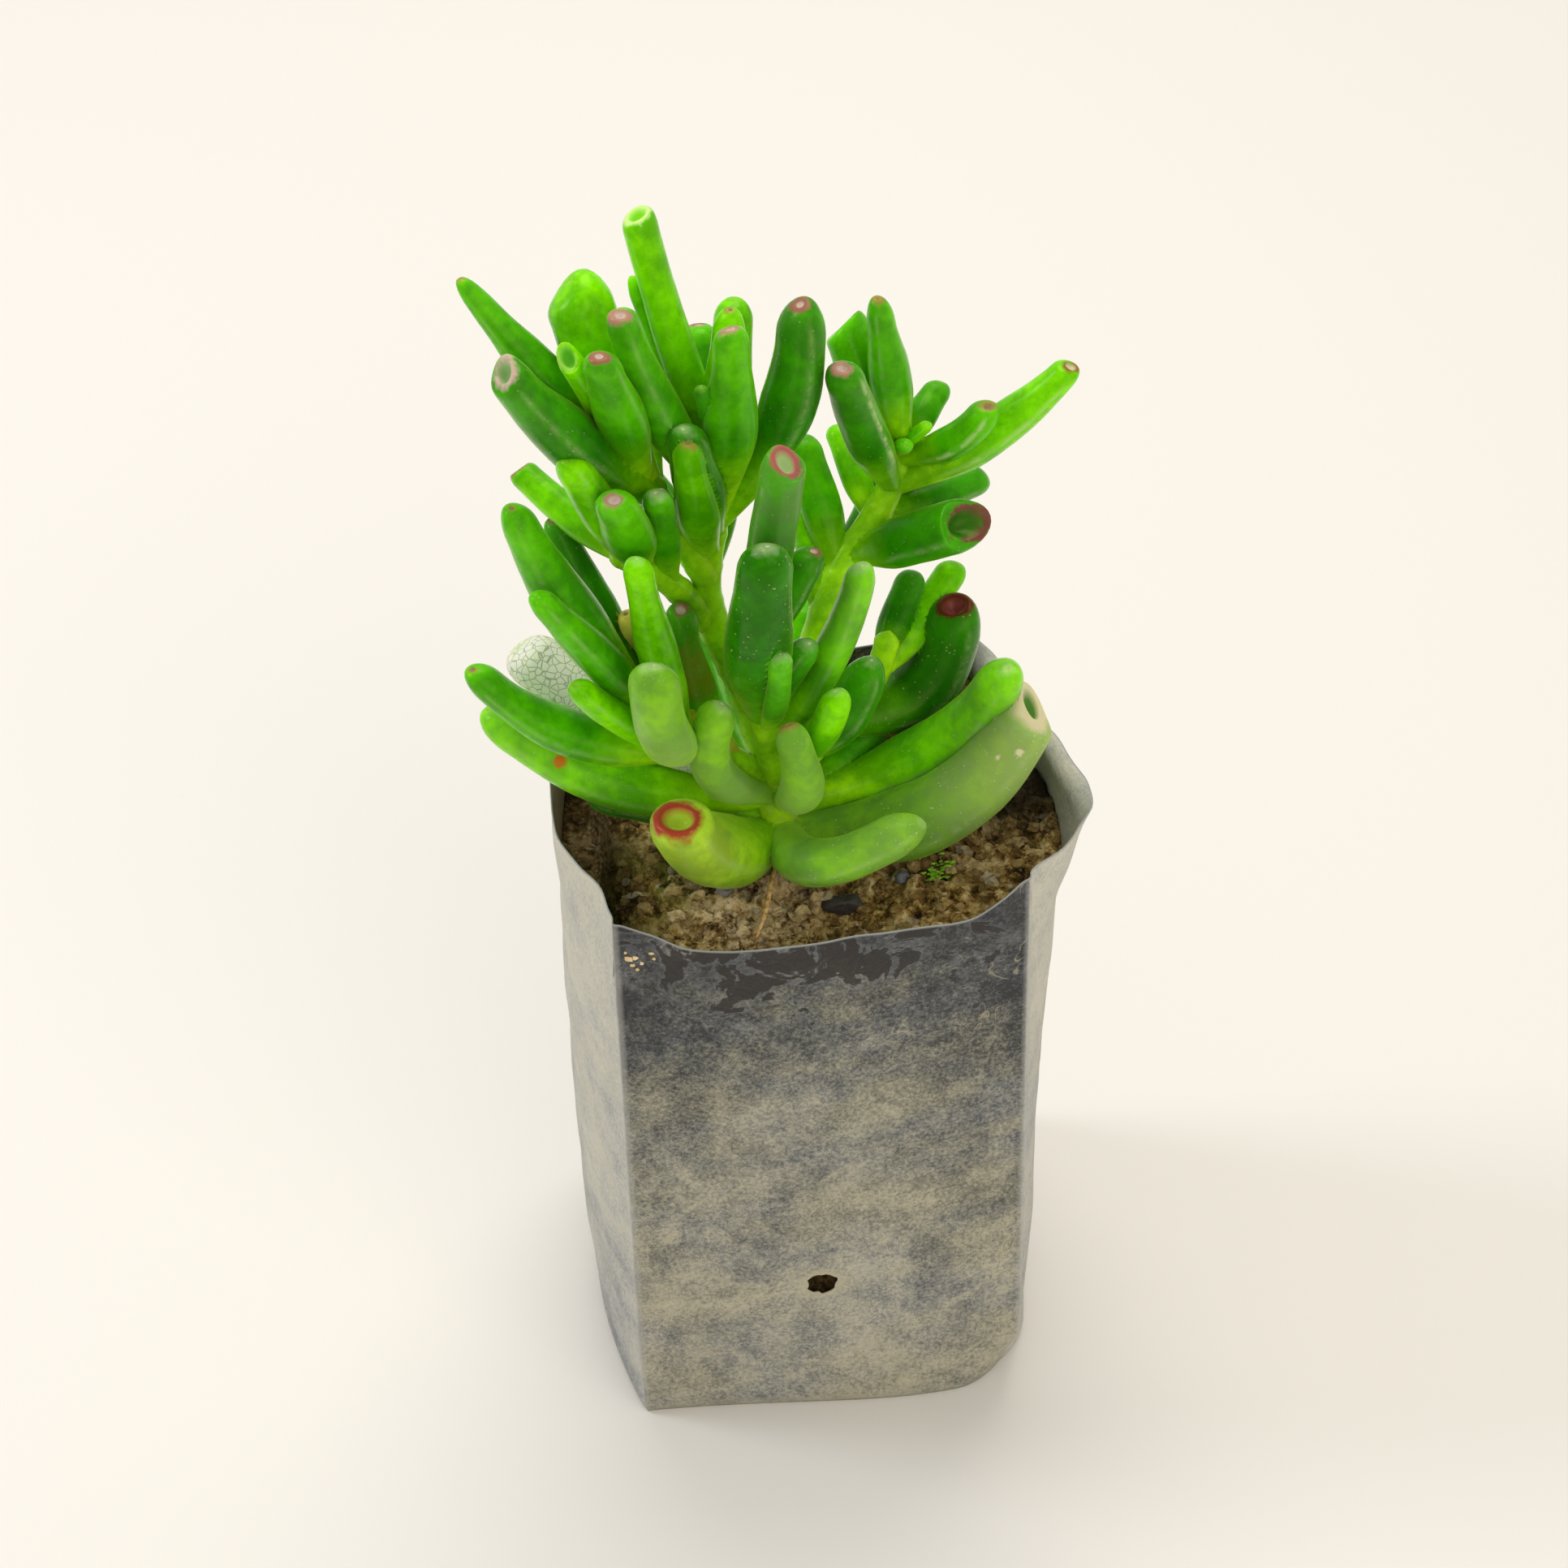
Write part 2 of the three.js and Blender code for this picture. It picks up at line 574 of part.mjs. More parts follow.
stones.forEach((stone, i) => {
  soil = soil.subtract(stoneSolid(stone, 7 + i, clearance));
  addMesh(stone.name, toGeometry(stoneSolid(stone, 7 + i)), stone.look);
});

addMesh('soil', toGeometry(soil), looks.soil);
addMesh('grow_bag', toGeometry(makeBag()), looks.film);

export default group;
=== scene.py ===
# A gollum jade, a jade plant with finger leaves, in a black polythene nursery bag.
import json
import math
import random

import bmesh
import bpy
from mathutils import Euler, Matrix, Vector, noise

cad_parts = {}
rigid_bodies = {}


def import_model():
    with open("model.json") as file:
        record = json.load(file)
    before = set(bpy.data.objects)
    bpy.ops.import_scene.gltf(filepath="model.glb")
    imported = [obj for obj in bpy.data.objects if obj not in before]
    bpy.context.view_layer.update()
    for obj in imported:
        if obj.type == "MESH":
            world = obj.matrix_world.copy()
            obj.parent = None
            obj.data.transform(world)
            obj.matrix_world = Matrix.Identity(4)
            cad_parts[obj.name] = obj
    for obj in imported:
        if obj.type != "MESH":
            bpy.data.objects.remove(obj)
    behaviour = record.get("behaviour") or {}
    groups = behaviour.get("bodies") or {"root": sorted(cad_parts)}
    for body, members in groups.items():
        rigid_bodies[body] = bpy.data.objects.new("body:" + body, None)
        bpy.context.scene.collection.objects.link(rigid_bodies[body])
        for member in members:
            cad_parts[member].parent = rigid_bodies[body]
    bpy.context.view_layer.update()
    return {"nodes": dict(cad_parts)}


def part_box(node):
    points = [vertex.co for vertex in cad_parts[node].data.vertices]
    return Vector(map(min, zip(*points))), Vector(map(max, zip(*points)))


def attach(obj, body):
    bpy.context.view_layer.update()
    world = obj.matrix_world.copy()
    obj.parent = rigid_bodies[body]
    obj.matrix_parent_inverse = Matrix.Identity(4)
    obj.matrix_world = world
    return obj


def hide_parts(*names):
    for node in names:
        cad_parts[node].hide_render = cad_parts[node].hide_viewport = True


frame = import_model()
mm = 0.001
print("frame loaded:", len(frame["nodes"]), "nodes")


def smoothstep(value, low, high):
    share = min(1.0, max(0.0, (value - low) / (high - low)))
    return share * share * (3 - 2 * share)


def linear(hexColour):
    channels = [int(hexColour[i:i + 2], 16) / 255 for i in (1, 3, 5)]
    return [c / 12.92 if c <= 0.04045 else ((c + 0.055) / 1.055) ** 2.4 for c in channels] + [1.0]


def setInputs(tree, node, inputs):
    # a value is a number, a socket, or a node, which stands for its first live output
    for socket, value in inputs.items():
        if isinstance(value, bpy.types.Node):
            value = next(output for output in value.outputs if output.enabled)
        if isinstance(value, bpy.types.NodeSocket):
            tree.links.new(value, node.inputs[socket])
        else:
            node.inputs[socket].default_value = value


# In the materials, MapRange takes 0 the value, 1 and 2 the range it comes from, 3 and 4 the range
# it goes to. Mix takes 0 the share, then 2 and 3 as numbers or 6 and 7 as colours. A Scale of
# 1000 / 8 makes a pattern 8 mm across.
def addNode(tree, kind, inputs=None, **settings):
    node = tree.nodes.new("ShaderNode" + kind)
    for name, value in settings.items():
        setattr(node, name, value)
    setInputs(tree, node, inputs or {})
    return node


def fillRamp(ramp, stops):
    elements = ramp.color_ramp.elements
    while len(elements) < len(stops):
        elements.new(0.5)
    for element, (position, hexColour) in zip(elements, stops):
        element.position = position
        element.color = linear(hexColour)


def newMaterial(name, **shader):
    material = bpy.data.materials.new(name)
    material.use_nodes = True
    tree = material.node_tree
    surface = tree.nodes["Principled BSDF"]
    for socket, value in shader.items():
        surface.inputs[socket.replace("_", " ")].default_value = value
    return material, tree, surface


def addObject(name, data):
    made = bpy.data.objects.new(name, data)
    bpy.context.scene.collection.objects.link(made)
    return made


def pieceName(prefix, node):
    return prefix + "".join(word.capitalize() for word in node.split("_"))


def smoothFaces(bm):
    for face in bm.faces:
        face.smooth = True


def finishPiece(bm, name, material, replaced=()):
    mesh = bpy.data.meshes.new(name)
    bm.to_mesh(mesh)
    bm.free()
    piece = addObject(name, mesh)
    mesh.materials.append(material)
    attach(piece, "root")
    if replaced:
        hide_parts(*replaced)
    return piece


# Camera first, at the photograph's angle: 43 degrees down and a little from the left.
camera = {
    "place": (-67.4, -625.0, 729.9),
    "azimuth": 5.9,
    "elevation": 43.0,
    "roll": -1.57,
    "lens": 99.56,
    "sensor": 36.0,
}


def placeCamera():
    data = bpy.data.cameras.new("camera")
    data.lens = camera["lens"]
    data.sensor_width = camera["sensor"]
    eye = addObject("camera", data)
    eye.location = Vector(camera["place"]) * mm
    turn = Matrix.Rotation(-math.radians(camera["azimuth"]), 4, "Z")
    tilt = Matrix.Rotation(math.radians(90 - camera["elevation"]), 4, "X")
    roll = Matrix.Rotation(math.radians(camera["roll"]), 4, "Z")
    eye.rotation_euler = (turn @ tilt @ roll).to_euler()
    bpy.context.scene.camera = eye


placeCamera()
print("camera placed")

# The bag: a side-gusset film bag of 80 by 76 mm between its creases, stood up and filled.
bag = {
    "panelWidth": 80,
    "depth": 76,
    "height": 146,
    "film": 0.25,
    # Each side runs from one crease to the next: how far it bows out at the heights in
    # bowLevels, where its foot and its body bow most (1 is the middle), and its rim as share
    # along, bow and height. Front, right, back, left.
    "bowLevels": (0, 0.2, 0.45, 0.78),
    "sides": [
        {
            "bows": (3.6, 3.5, 3.5, 3.8),
            "footLean": 2.0,
            "rim": [
                (0, 0, 147.8), (0.08, 2.0, 145.2), (0.17, 4.0, 142.4), (0.28, 5.0, 141.3), (0.5, 5.0, 142.2),
                (0.75, 4.4, 142.5), (0.86, 3.7, 142.4), (0.93, 2.5, 145.6), (1, 0, 149.2),
            ],
        },
        {
            "bows": (6.2, 7.4, 8.7, 11.4),
            "footLean": 1.0,
            "rim": [
                (0, 0, 149.2), (0.05, 2.2, 148), (0.11, 8.6, 147.5), (0.17, 12.4, 147.5), (0.26, 14.5, 147.3),
                (0.37, 13.2, 147), (0.5, 10.4, 146.5), (0.75, 4.6, 146), (1, 0, 147.2),
            ],
        },
        {
            "bows": (3, 3.5, 3.5, 3),
            "footLean": 1.0,
            "rim": [(0, 0, 147.2), (0.25, -1.8, 146.4), (0.5, -2.5, 145), (0.75, -1.9, 146.2), (1, 0, 147.5)],
        },
        {
            "bows": (6.6, 8.2, 8.7, 8.6),
            "footLean": 1.0,
            "rim": [
                (0, 0, 147.5), (0.2, 5.0, 147), (0.45, 8.6, 146.8), (0.65, 8.5, 147), (0.71, 7.6, 147.2),
                (0.78, 5.2, 147.4), (0.84, 2.9, 147.5), (0.9, 1.4, 147.6), (0.95, 0.7, 147.7), (1, 0, 147.8),
            ],
        },
    ],
    "archFullness": 0.8,
    "footEnd": 0.3,
    "rimStart": 0.84,
    "footTuck": 0.7,
    "footRound": 3,
    # the front right corner is folded under at the foot
    "cornerTuck": 4.5,
    "cornerHeight": 15,
    "cornerReach": 13,
    "cornerPull": (-0.6, 0.8),
    # the rim curls over outward along the right gusset
    "lipStart": 0.966,
    "lipRadius": 2.6,
    "lipRises": (0.16, 0.42),
    "lipEnds": (0.8, 0.98),
    "stepsPerSide": 60,
    "levels": 88,
    "rimLevels": 14,
    "rimLevelStart": 0.95,
    "levelEasing": 1.05,
    "floorRings": (0.92, 0.6, 0.25),
    "floorHeight": 0.1,
    # creases are sharp above this height
    "sharpFrom": 8,
    "creaseRidge": 0.55,
    "creaseWidth": 0.9,
    # the heights over which that ridge, and the film's relief, rise to their full strength
    "ridgeRises": (6, 20),
    "reliefRises": (0, 8),
    # dents, crumples, folds and ripples fade out toward a crease
    "creaseFade": 9,
    "dentSize": 27,
    "dentDepth": 0.8,
    "crumpleSize": 8,
    "crumpleDepth": 0.22,
    "foldSize": 9,
    "foldDepth": 0.8,
    "foldStretch": 0.22,
    "foldedFrom": (118, 140),
    # ripples run straight up the film, so one level slice of the noise gives them all
    "rippleSize": 13,
    "rippleSlice": 40,
    "rippleDepth": 0.5,
    "holeSize": 6.6,
    "holeSides": 22,
    "holeTear": (0.84, 1.1),
    "holeSquash": 0.94,
    "holeHeight": 40.6,
    "holeOffset": -2,
    "insideFrom": 2,
    "seed": 11,
}


def curveAt(knots, share):
    # a smooth line through knots of (share, value, value), for the values at one share
    index = 0
    while index < len(knots) - 2 and share > knots[index + 1][0]:
        index += 1

    def slope(k):
        low, high = max(0, k - 1), min(len(knots) - 1, k + 1)
        return [(b - a) / (knots[high][0] - knots[low][0]) for a, b in zip(knots[low][1:], knots[high][1:])]

    start, end = knots[index], knots[index + 1]
    span = end[0] - start[0]
    t = (share - start[0]) / span
    rise, fall = t * t * (3 - 2 * t), t * (1 - t) ** 2
    return [
        a + (b - a) * rise + m * span * fall - n * span * t * t * (1 - t)
        for a, b, m, n in zip(start[1:], end[1:], slope(index), slope(index + 1))
    ]


def bowAt(side, level):
    levels, bows = bag["bowLevels"], side["bows"]
    bow = bows[0]
    for low, high, first, second in zip(levels, levels[1:], bows, bows[1:]):
        bow += (second - first) * smoothstep(level, low, high)
    return bow


def bagOutline(turn, level):
    # turn counts the sides: 0 to 1 is the front panel, 1 to 2 the right gusset, and so on
    index = int(math.floor(turn)) % 4
    along = turn - math.floor(turn)
    width, depth = bag["panelWidth"] / 2, bag["depth"] / 2
    corners = [Vector((-width, -depth)), Vector((width, -depth)), Vector((width, depth)), Vector((-width, depth))]
    corner, following = corners[index], corners[(index + 1) % 4]
    side = bag["sides"][index]
    lean = 1 + (side["footLean"] - 1) * (1 - smoothstep(level, 0, bag["footEnd"]))
    arch = math.sin(math.pi * along ** lean) ** bag["archFullness"] if along > 0 else 0
    rimBow, rimHeight = curveAt(side["rim"], along)
    toRim = smoothstep(level, bag["rimStart"], 1)
    bow = bowAt(side, level) * arch * (1 - toRim) + rimBow * toRim
    edge = following - corner
    out = Vector((edge.y, -edge.x)).normalized()
    plan = corner.lerp(following, along) + out * bow
    height = rimHeight * level
    folded = 1 - smoothstep(height, 0, bag["cornerHeight"])
    away = (plan - corners[1]).length
    if away < bag["cornerReach"]:
        pull = bag["cornerTuck"] * folded * (1 - away / bag["cornerReach"]) ** 1.5
        plan = plan + Vector(bag["cornerPull"]) * pull
    toCorner = min(along, 1 - along) * edge.length
    return plan, height, toCorner


def lipCurl(turn, level, height):
    # how far the rolled rim reaches out, and how far it drops
    along = turn - 1
    if not 0 < along < 1 or level < bag["lipStart"]:
        return 0, 0
    mask = smoothstep(along, *bag["lipRises"]) * (1 - smoothstep(along, *bag["lipEnds"]))
    bend = mask / bag["lipRadius"]
    length = height * (1 - bag["lipStart"] / level)
    if bend * length < 0.01:
        return 0, 0
    return (1 - math.cos(bend * length)) / bend, math.sin(bend * length) / bend - length


def filmPoint(turn, level, inset=0):
    plan, height, toCorner = bagOutline(turn, level)
    nudge = 0.01
    before = bagOutline((turn - nudge) % 4, level)[0]
    after = bagOutline((turn + nudge) % 4, level)[0]
    out = Vector((after.y - before.y, before.x - after.x)).normalized()
    spot = Vector((plan.x, plan.y, height))
    fade = min(1.0, toCorner / bag["creaseFade"])
    upper = smoothstep(height, *bag["foldedFrom"])
    # each added vector only moves a pattern to another stretch of the noise
    relief = bag["dentDepth"] * noise.noise(spot / bag["dentSize"] + Vector((3, 1, 7)))
    relief += bag["crumpleDepth"] * noise.noise(spot / bag["crumpleSize"])
    tall = Vector((spot.x, spot.y, spot.z * bag["foldStretch"])) / bag["foldSize"]
    relief += bag["foldDepth"] * upper * noise.noise(tall + Vector((9, 4, 2)))
    lift = bag["creaseRidge"] * math.exp(-((toCorner / bag["creaseWidth"]) ** 2))
    lift *= smoothstep(height, *bag["ridgeRises"])
    tuck = bag["footTuck"] * max(0.0, 1 - height / bag["footRound"]) ** 2
    curl, drop = lipCurl(turn, level, height)
    reach = relief * fade * smoothstep(height, *bag["reliefRises"]) + lift - tuck - inset + curl
    along = Vector((spot.x, spot.y, bag["rippleSlice"])) / bag["rippleSize"]
    ripple = bag["rippleDepth"] * upper * fade * noise.noise(along)
    return Vector((plan.x + out.x * reach, plan.y + out.y * reach, height + ripple + drop)) * mm


def easedTurns(stepsPerSide, crowding=0.7):
    # more steps near the four creases than in mid-panel
    turns = []
    for side in range(4):
        for step in range(stepsPerSide):
            even = step / stepsPerSide
            eased = 0.5 - 0.5 * math.cos(math.pi * even)
            turns.append(side + (1 - crowding) * even + crowding * eased)
    return turns


def evenAngles(sides):
    return [2 * math.pi * side / sides for side in range(sides)]


def startRing(bm, keyLayer, keys):
    # a circle whose vertices carry the key that places them; extruded rings inherit it
    ring = bmesh.ops.create_circle(bm, segments=len(keys), radius=1)["verts"]
    ring.sort(key=lambda vert: math.atan2(vert.co.y, vert.co.x) % (2 * math.pi))
    for vert, key in zip(ring, keys):
        vert[keyLayer] = key
    return ring


def nextRing(bm, ring):
    inRing = set(ring)
    edges = {edge for vert in ring for edge in vert.link_edges if edge.other_vert(vert) in inRing}
    grown = bmesh.ops.extrude_edge_only(bm, edges=list(edges))["geom"]
    return [part for part in grown if isinstance(part, bmesh.types.BMVert)]


def closeRing(bm, ring, centre):
    bmesh.ops.pointmerge(bm, verts=ring, merge_co=centre)


def faceOut(bm):
    bmesh.ops.recalc_face_normals(bm, faces=bm.faces)


def buildBag(material):
    bm = bmesh.new()
    turnLayer = bm.verts.layers.float.new("turn")
    rimLayer = bm.verts.layers.float.new("rimLine")
    creaseLayer = bm.verts.layers.float.new("crease")
    gussetLayer = bm.verts.layers.float.new("gusset")
    turns = easedTurns(bag["stepsPerSide"])
    ring = startRing(bm, turnLayer, turns)
    start = bag["rimLevelStart"]
    heights = [start * (step / bag["levels"]) ** bag["levelEasing"] for step in range(bag["levels"])]
    heights += [start + (1 - start) * step / bag["rimLevels"] for step in range(bag["rimLevels"] + 1)]
    for count, level in enumerate(heights):
        if count:
            ring = nextRing(bm, ring)
        for vert in ring:
            turn = vert[turnLayer]
            vert.co = filmPoint(turn, level)
            vert[rimLayer] = 1.0 if level == 1 else 0.0
            toCrease = abs(turn - round(turn)) * bag["panelWidth"]
            vert[creaseLayer] = math.exp(-((toCrease / bag["creaseWidth"]) ** 2))
            vert[gussetLayer] = float(int(turn) % 2)
        if count == 0:
            foot = ring
    floorRing = foot
    for share in bag["floorRings"]:
        floorRing = nextRing(bm, floorRing)
        for vert in floorRing:
            vert.co = filmPoint(vert[turnLayer], 0) * share
            vert.co.z = bag["floorHeight"] * mm
    closeRing(bm, floorRing, (0, 0, bag["floorHeight"] * mm))
    bm.verts.ensure_lookup_table()
    faceOut(bm)
    for edge in bm.edges:
        onCrease = all(abs(vert[turnLayer] - round(vert[turnLayer])) < 1e-4 for vert in edge.verts)
        edge.smooth = not (onCrease and edge.verts[0].co.z > bag["sharpFrom"] * mm)
    smoothFaces(bm)
    piece = finishPiece(bm, "filmBag", material, ["grow_bag"])
    wall = piece.modifiers.new("film", "SOLIDIFY")
    wall.thickness = bag["film"] * mm
    wall.offset = -1
    applyModifiers(piece)
    markInside(piece.data)
    punchHoles(piece)
    return piece


def punchHoles(piece):
    # a torn round hole, front and back
    draw = random.Random(bag["seed"])
    sides = bag["holeSides"]
    bm = bmesh.new()
    bmesh.ops.create_cone(bm, cap_ends=True, segments=sides, radius1=1, radius2=1, depth=2)
    radii = [bag["holeSize"] / 2 * draw.uniform(*bag["holeTear"]) for _ in range(sides)]
    for vert in bm.verts:
        angle = math.atan2(vert.co.y, vert.co.x) % (2 * math.pi)
        radius = radii[round(angle / (2 * math.pi) * sides) % sides]
        vert.co.x = math.cos(angle) * radius * mm
        vert.co.y = math.sin(angle) * radius * mm * bag["holeSquash"]
        vert.co.z *= bag["depth"] * mm
    bmesh.ops.rotate(bm, verts=bm.verts, matrix=Matrix.Rotation(math.pi / 2, 3, "X"))
    bmesh.ops.translate(bm, verts=bm.verts, vec=(bag["holeOffset"] * mm, 0, bag["holeHeight"] * mm))
    mesh = bpy.data.meshes.new("punch")
    bm.to_mesh(mesh)
    bm.free()
    punch = addObject("punch", mesh)
    cut = piece.modifiers.new("holes", "BOOLEAN")
    cut.operation = "DIFFERENCE"
    cut.object = punch
    cut.solver = "MANIFOLD"
    applyModifiers(piece)
    bpy.data.objects.remove(punch)


def markInside(mesh):
    # the thickened film's inner face looks toward the middle of the bag
    bm = bmesh.new()
    bm.from_mesh(mesh)
    bm.normal_update()
    inside = bm.verts.layers.float.new("inside")
    for vert in bm.verts:
        away = Vector((vert.co.x, vert.co.y, 0)).normalized()
        vert[inside] = 1.0 if vert.normal.dot(away) < 0 and vert.co.z > bag["insideFrom"] * mm else 0.0
    bm.to_mesh(mesh)
    bm.free()


def applyModifiers(piece):
    graph = bpy.context.evaluated_depsgraph_get()
    made = bpy.data.meshes.new_from_object(piece.evaluated_get(graph))
    piece.modifiers.clear()
    old = piece.data
    piece.data = made
    made.name = piece.name
    bpy.data.meshes.remove(old)


# Old LDPE film: black under a grey bloom, darkest where the rim was wiped, dusted olive and
# beige toward the foot, with hair-fine pale curls where it was creased.
def polytheneFilm():
    material, tree, surface = newMaterial("dustyPolytheneFilm", IOR=1.51, Specular_IOR_Level=0.3)
    place = addNode(tree, "TexCoord").outputs["Object"]
    split = addNode(tree, "SeparateXYZ", {0: place})
    across, deep, up = (split.outputs[axis] for axis in "XYZ")
    gusset, crease, rimLine, inside = (
        addNode(tree, "Attribute", attribute_name=name).outputs["Fac"]
        for name in ("gusset", "crease", "rimLine", "inside")
    )
    broad = addNode(
        tree, "TexNoise", {"Vector": place, "Scale": 1000 / 26, "Detail": 8.0, "Roughness": 0.62, "Distortion": 0.9}
    )
    wide = addNode(tree, "Mapping", {"Vector": place, "Scale": (1000 / 46, 1000 / 46, 1000 / 19)})
    bands = addNode(tree, "TexNoise", {"Vector": wide, "Scale": 1.0, "Detail": 5.0, "Roughness": 0.55})
    cloudy = addNode(tree, "TexNoise", {"Vector": place, "Scale": 1000 / 8, "Detail": 9.0, "Roughness": 0.74})
    grit = addNode(tree, "TexNoise", {"Vector": place, "Scale": 1000 / 0.8, "Detail": 5.0, "Roughness": 0.8})
    # tone: dark at the rim and paler toward the foot, partly dust and partly painted light, the bounce from the pale
    # floor lighting the lower film; and darker toward the front's two creases
    fromMiddle = addNode(tree, "Math", {0: across, 1: 0.003}, operation="ADD")
    fromMiddle = addNode(tree, "Math", {0: fromMiddle}, operation="ABSOLUTE")
    tone = addNode(tree, "MapRange", {0: up, 1: 0.015, 2: 0.11, 3: 0.62, 4: 0.47})
    atTop = addNode(tree, "MapRange", {0: up, 1: 0.092, 2: 0.135, 3: 0.0, 4: -0.37})
    atCrease = addNode(tree, "MapRange", {0: fromMiddle, 1: 0.01, 2: 0.036, 3: 0.03, 4: -0.09})
    for shift in (atTop, atCrease):
        tone = addNode(tree, "Math", {0: tone, 1: shift}, operation="ADD")
    # painted light: the gussets are lightest at the rim, a painted highlight on their upper film
    gussetLitTone = addNode(tree, "MapRange", {0: up, 1: 0.02, 2: 0.13, 3: 0.3, 4: 0.58})
    tone = addNode(tree, "Mix", {0: gusset, 2: tone, 3: gussetLitTone})
    # each pattern shifts the tone; the gussets are more even than the front, and paler with painted light from the
    # bright surround
    shifts = 0.0
    patterns = ((bands, 0.14, 0.11), (broad, 0.14, 0.09), (cloudy, 0.14, 0.14), (grit, 0.12, 0.19))
    for pattern, spread, by in patterns:
        shift = addNode(tree, "MapRange", {0: pattern, 1: 0.5 - spread, 2: 0.5 + spread, 3: -by, 4: by})
        shifts = addNode(tree, "Math", {0: shifts, 1: shift}, operation="ADD")
    evened = addNode(tree, "MapRange", {0: gusset, 1: 0.0, 2: 1.0, 3: 1.0, 4: 0.9})
    shifts = addNode(tree, "Math", {0: shifts, 1: evened}, operation="MULTIPLY")
    paler = addNode(tree, "MapRange", {0: gusset, 1: 0.0, 2: 1.0, 3: 0.0, 4: 0.27})
    for shift in (shifts, paler):
        tone = addNode(tree, "Math", {0: tone, 1: shift}, operation="ADD")
    # grey-blue and olive drifts on the front; on the gussets mostly grey-blue, a painted reflection of the pale sky
    olive = addNode(tree, "ValToRGB", {"Fac": tone})
    fillRamp(olive, [(0.0, "#232425"), (0.22, "#4a4b49"), (0.5, "#8a8878"), (0.75, "#b2ad98"), (1.0, "#c4beaa")])
    cool = addNode(tree, "ValToRGB", {"Fac": tone})
    fillRamp(cool, [(0.0, "#383c42"), (0.35, "#85898e"), (0.65, "#b8b8b2"), (0.85, "#c9c7ba"), (1.0, "#d4d0c0")])
    drift = addNode(tree, "MapRange", {0: bands, 1: 0.42, 2: 0.58, 3: 0.4, 4: 0.0})
    reflectedSkyAndDrift = addNode(tree, "MapRange", {0: gusset, 1: 0.0, 2: 1.0, 3: 0.0, 4: 0.9})
    reflectedSkyAndDrift = addNode(tree, "Math", {0: reflectedSkyAndDrift, 1: drift}, operation="MAXIMUM")
    colour = addNode(tree, "Mix", {0: reflectedSkyAndDrift, 6: olive, 7: cool}, data_type="RGBA")
    # beige dust caught in patches, mostly in the lower half
    low = addNode(tree, "MapRange", {0: up, 1: 0.03, 2: 0.11, 3: 0.3, 4: 0.08})
    caught = addNode(tree, "MapRange", {0: cloudy, 1: 0.5, 2: 0.72, 3: 0.0, 4: 1.0})
    dusted = addNode(tree, "Math", {0: caught, 1: low}, operation="MULTIPLY")
    # hair-fine curls: the contour lines of a soft pattern, where a second pattern lets them show
    curls = addNode(tree, "TexNoise", {"Vector": place, "Scale": 1000 / 9, "Detail": 1.5, "Distortion": 1.2})
    offLine = addNode(tree, "Math", {0: curls, 1: 0.5}, operation="SUBTRACT")
    offLine = addNode(tree, "Math", {0: offLine}, operation="ABSOLUTE")
    line = addNode(tree, "MapRange", {0: offLine, 1: 0.003, 2: 0.016, 3: 1.0, 4: 0.0})
    letThrough = addNode(tree, "MapRange", {0: broad, 1: 0.53, 2: 0.6, 3: 0.0, 4: 0.5})
    curled = addNode(tree, "Math", {0: line, 1: letThrough}, operation="MULTIPLY")
    # wiped patches just under the rim of the front panel, dark and a little glossy
    patch = addNode(
        tree, "TexNoise", {"Vector": place, "Scale": 1000 / 10, "Detail": 5.0, "Roughness": 0.58, "Distortion": 0.7}
    )
    nearRim = addNode(tree, "MapRange", {0: up, 1: 0.1, 2: 0.132, 3: -0.3, 4: 0.045})
    aside = addNode(tree, "Math", {0: across, 1: 0.012}, operation="ADD")
    aside = addNode(tree, "Math", {0: aside}, operation="ABSOLUTE")
    central = addNode(tree, "MapRange", {0: aside, 1: 0.012, 2: 0.034, 3: 0.035, 4: -0.06})
    onFront = addNode(tree, "MapRange", {0: deep, 1: -0.034, 2: -0.037, 3: -1.0, 4: 0.0})
    for shift in (nearRim, central, onFront):
        patch = addNode(tree, "Math", {0: patch, 1: shift}, operation="ADD")
    wiped = addNode(tree, "MapRange", {0: patch, 1: 0.545, 2: 0.562, 3: 0.0, 4: 0.92})
    # a few lighter rings where drops have dried, at the same places
    drying = addNode(tree, "MapRange", {0: patch, 1: 0.46, 2: 0.54, 3: 0.0, 4: 0.3})
    dryEdge = addNode(tree, "MapRange", {0: patch, 1: 0.541, 2: 0.545, 3: 1.0, 4: 0.0})
    dried = addNode(tree, "Math", {0: drying, 1: dryEdge}, operation="MULTIPLY")
    # the drain holes are torn pale round their edges
    flat = addNode(tree, "VectorMath", {0: place, 1: (1, 0, 1)}, operation="MULTIPLY")
    holeSpot = (bag["holeOffset"] * mm, 0, bag["holeHeight"] * mm)
    fromHole = addNode(tree, "VectorMath", {0: flat, 1: holeSpot}, operation="DISTANCE")
    ragged = addNode(tree, "MapRange", {0: cloudy, 1: 0.35, 2: 0.65, 3: -0.9 * mm, 4: 0.9 * mm})
    fromHole = addNode(tree, "Math", {0: fromHole, 1: ragged}, operation="ADD")
    tornEnd = (bag["holeSize"] / 2 + 1.9) * mm
    torn = addNode(tree, "MapRange", {0: fromHole, 1: tornEnd - 1.4 * mm, 2: tornEnd, 3: 0.6, 4: 0.0})
    # painted light: a pale highlight line down each crease, and a pale strip at the foot where the film curves under
    # toward the bright floor
    creaseHighlight = addNode(tree, "MapRange", {0: crease, 1: 0.3, 2: 1.0, 3: 0.0, 4: 0.5})
    footBounceLight = addNode(tree, "MapRange", {0: up, 1: 0.0, 2: 0.0035, 3: 0.55, 4: 0.0})
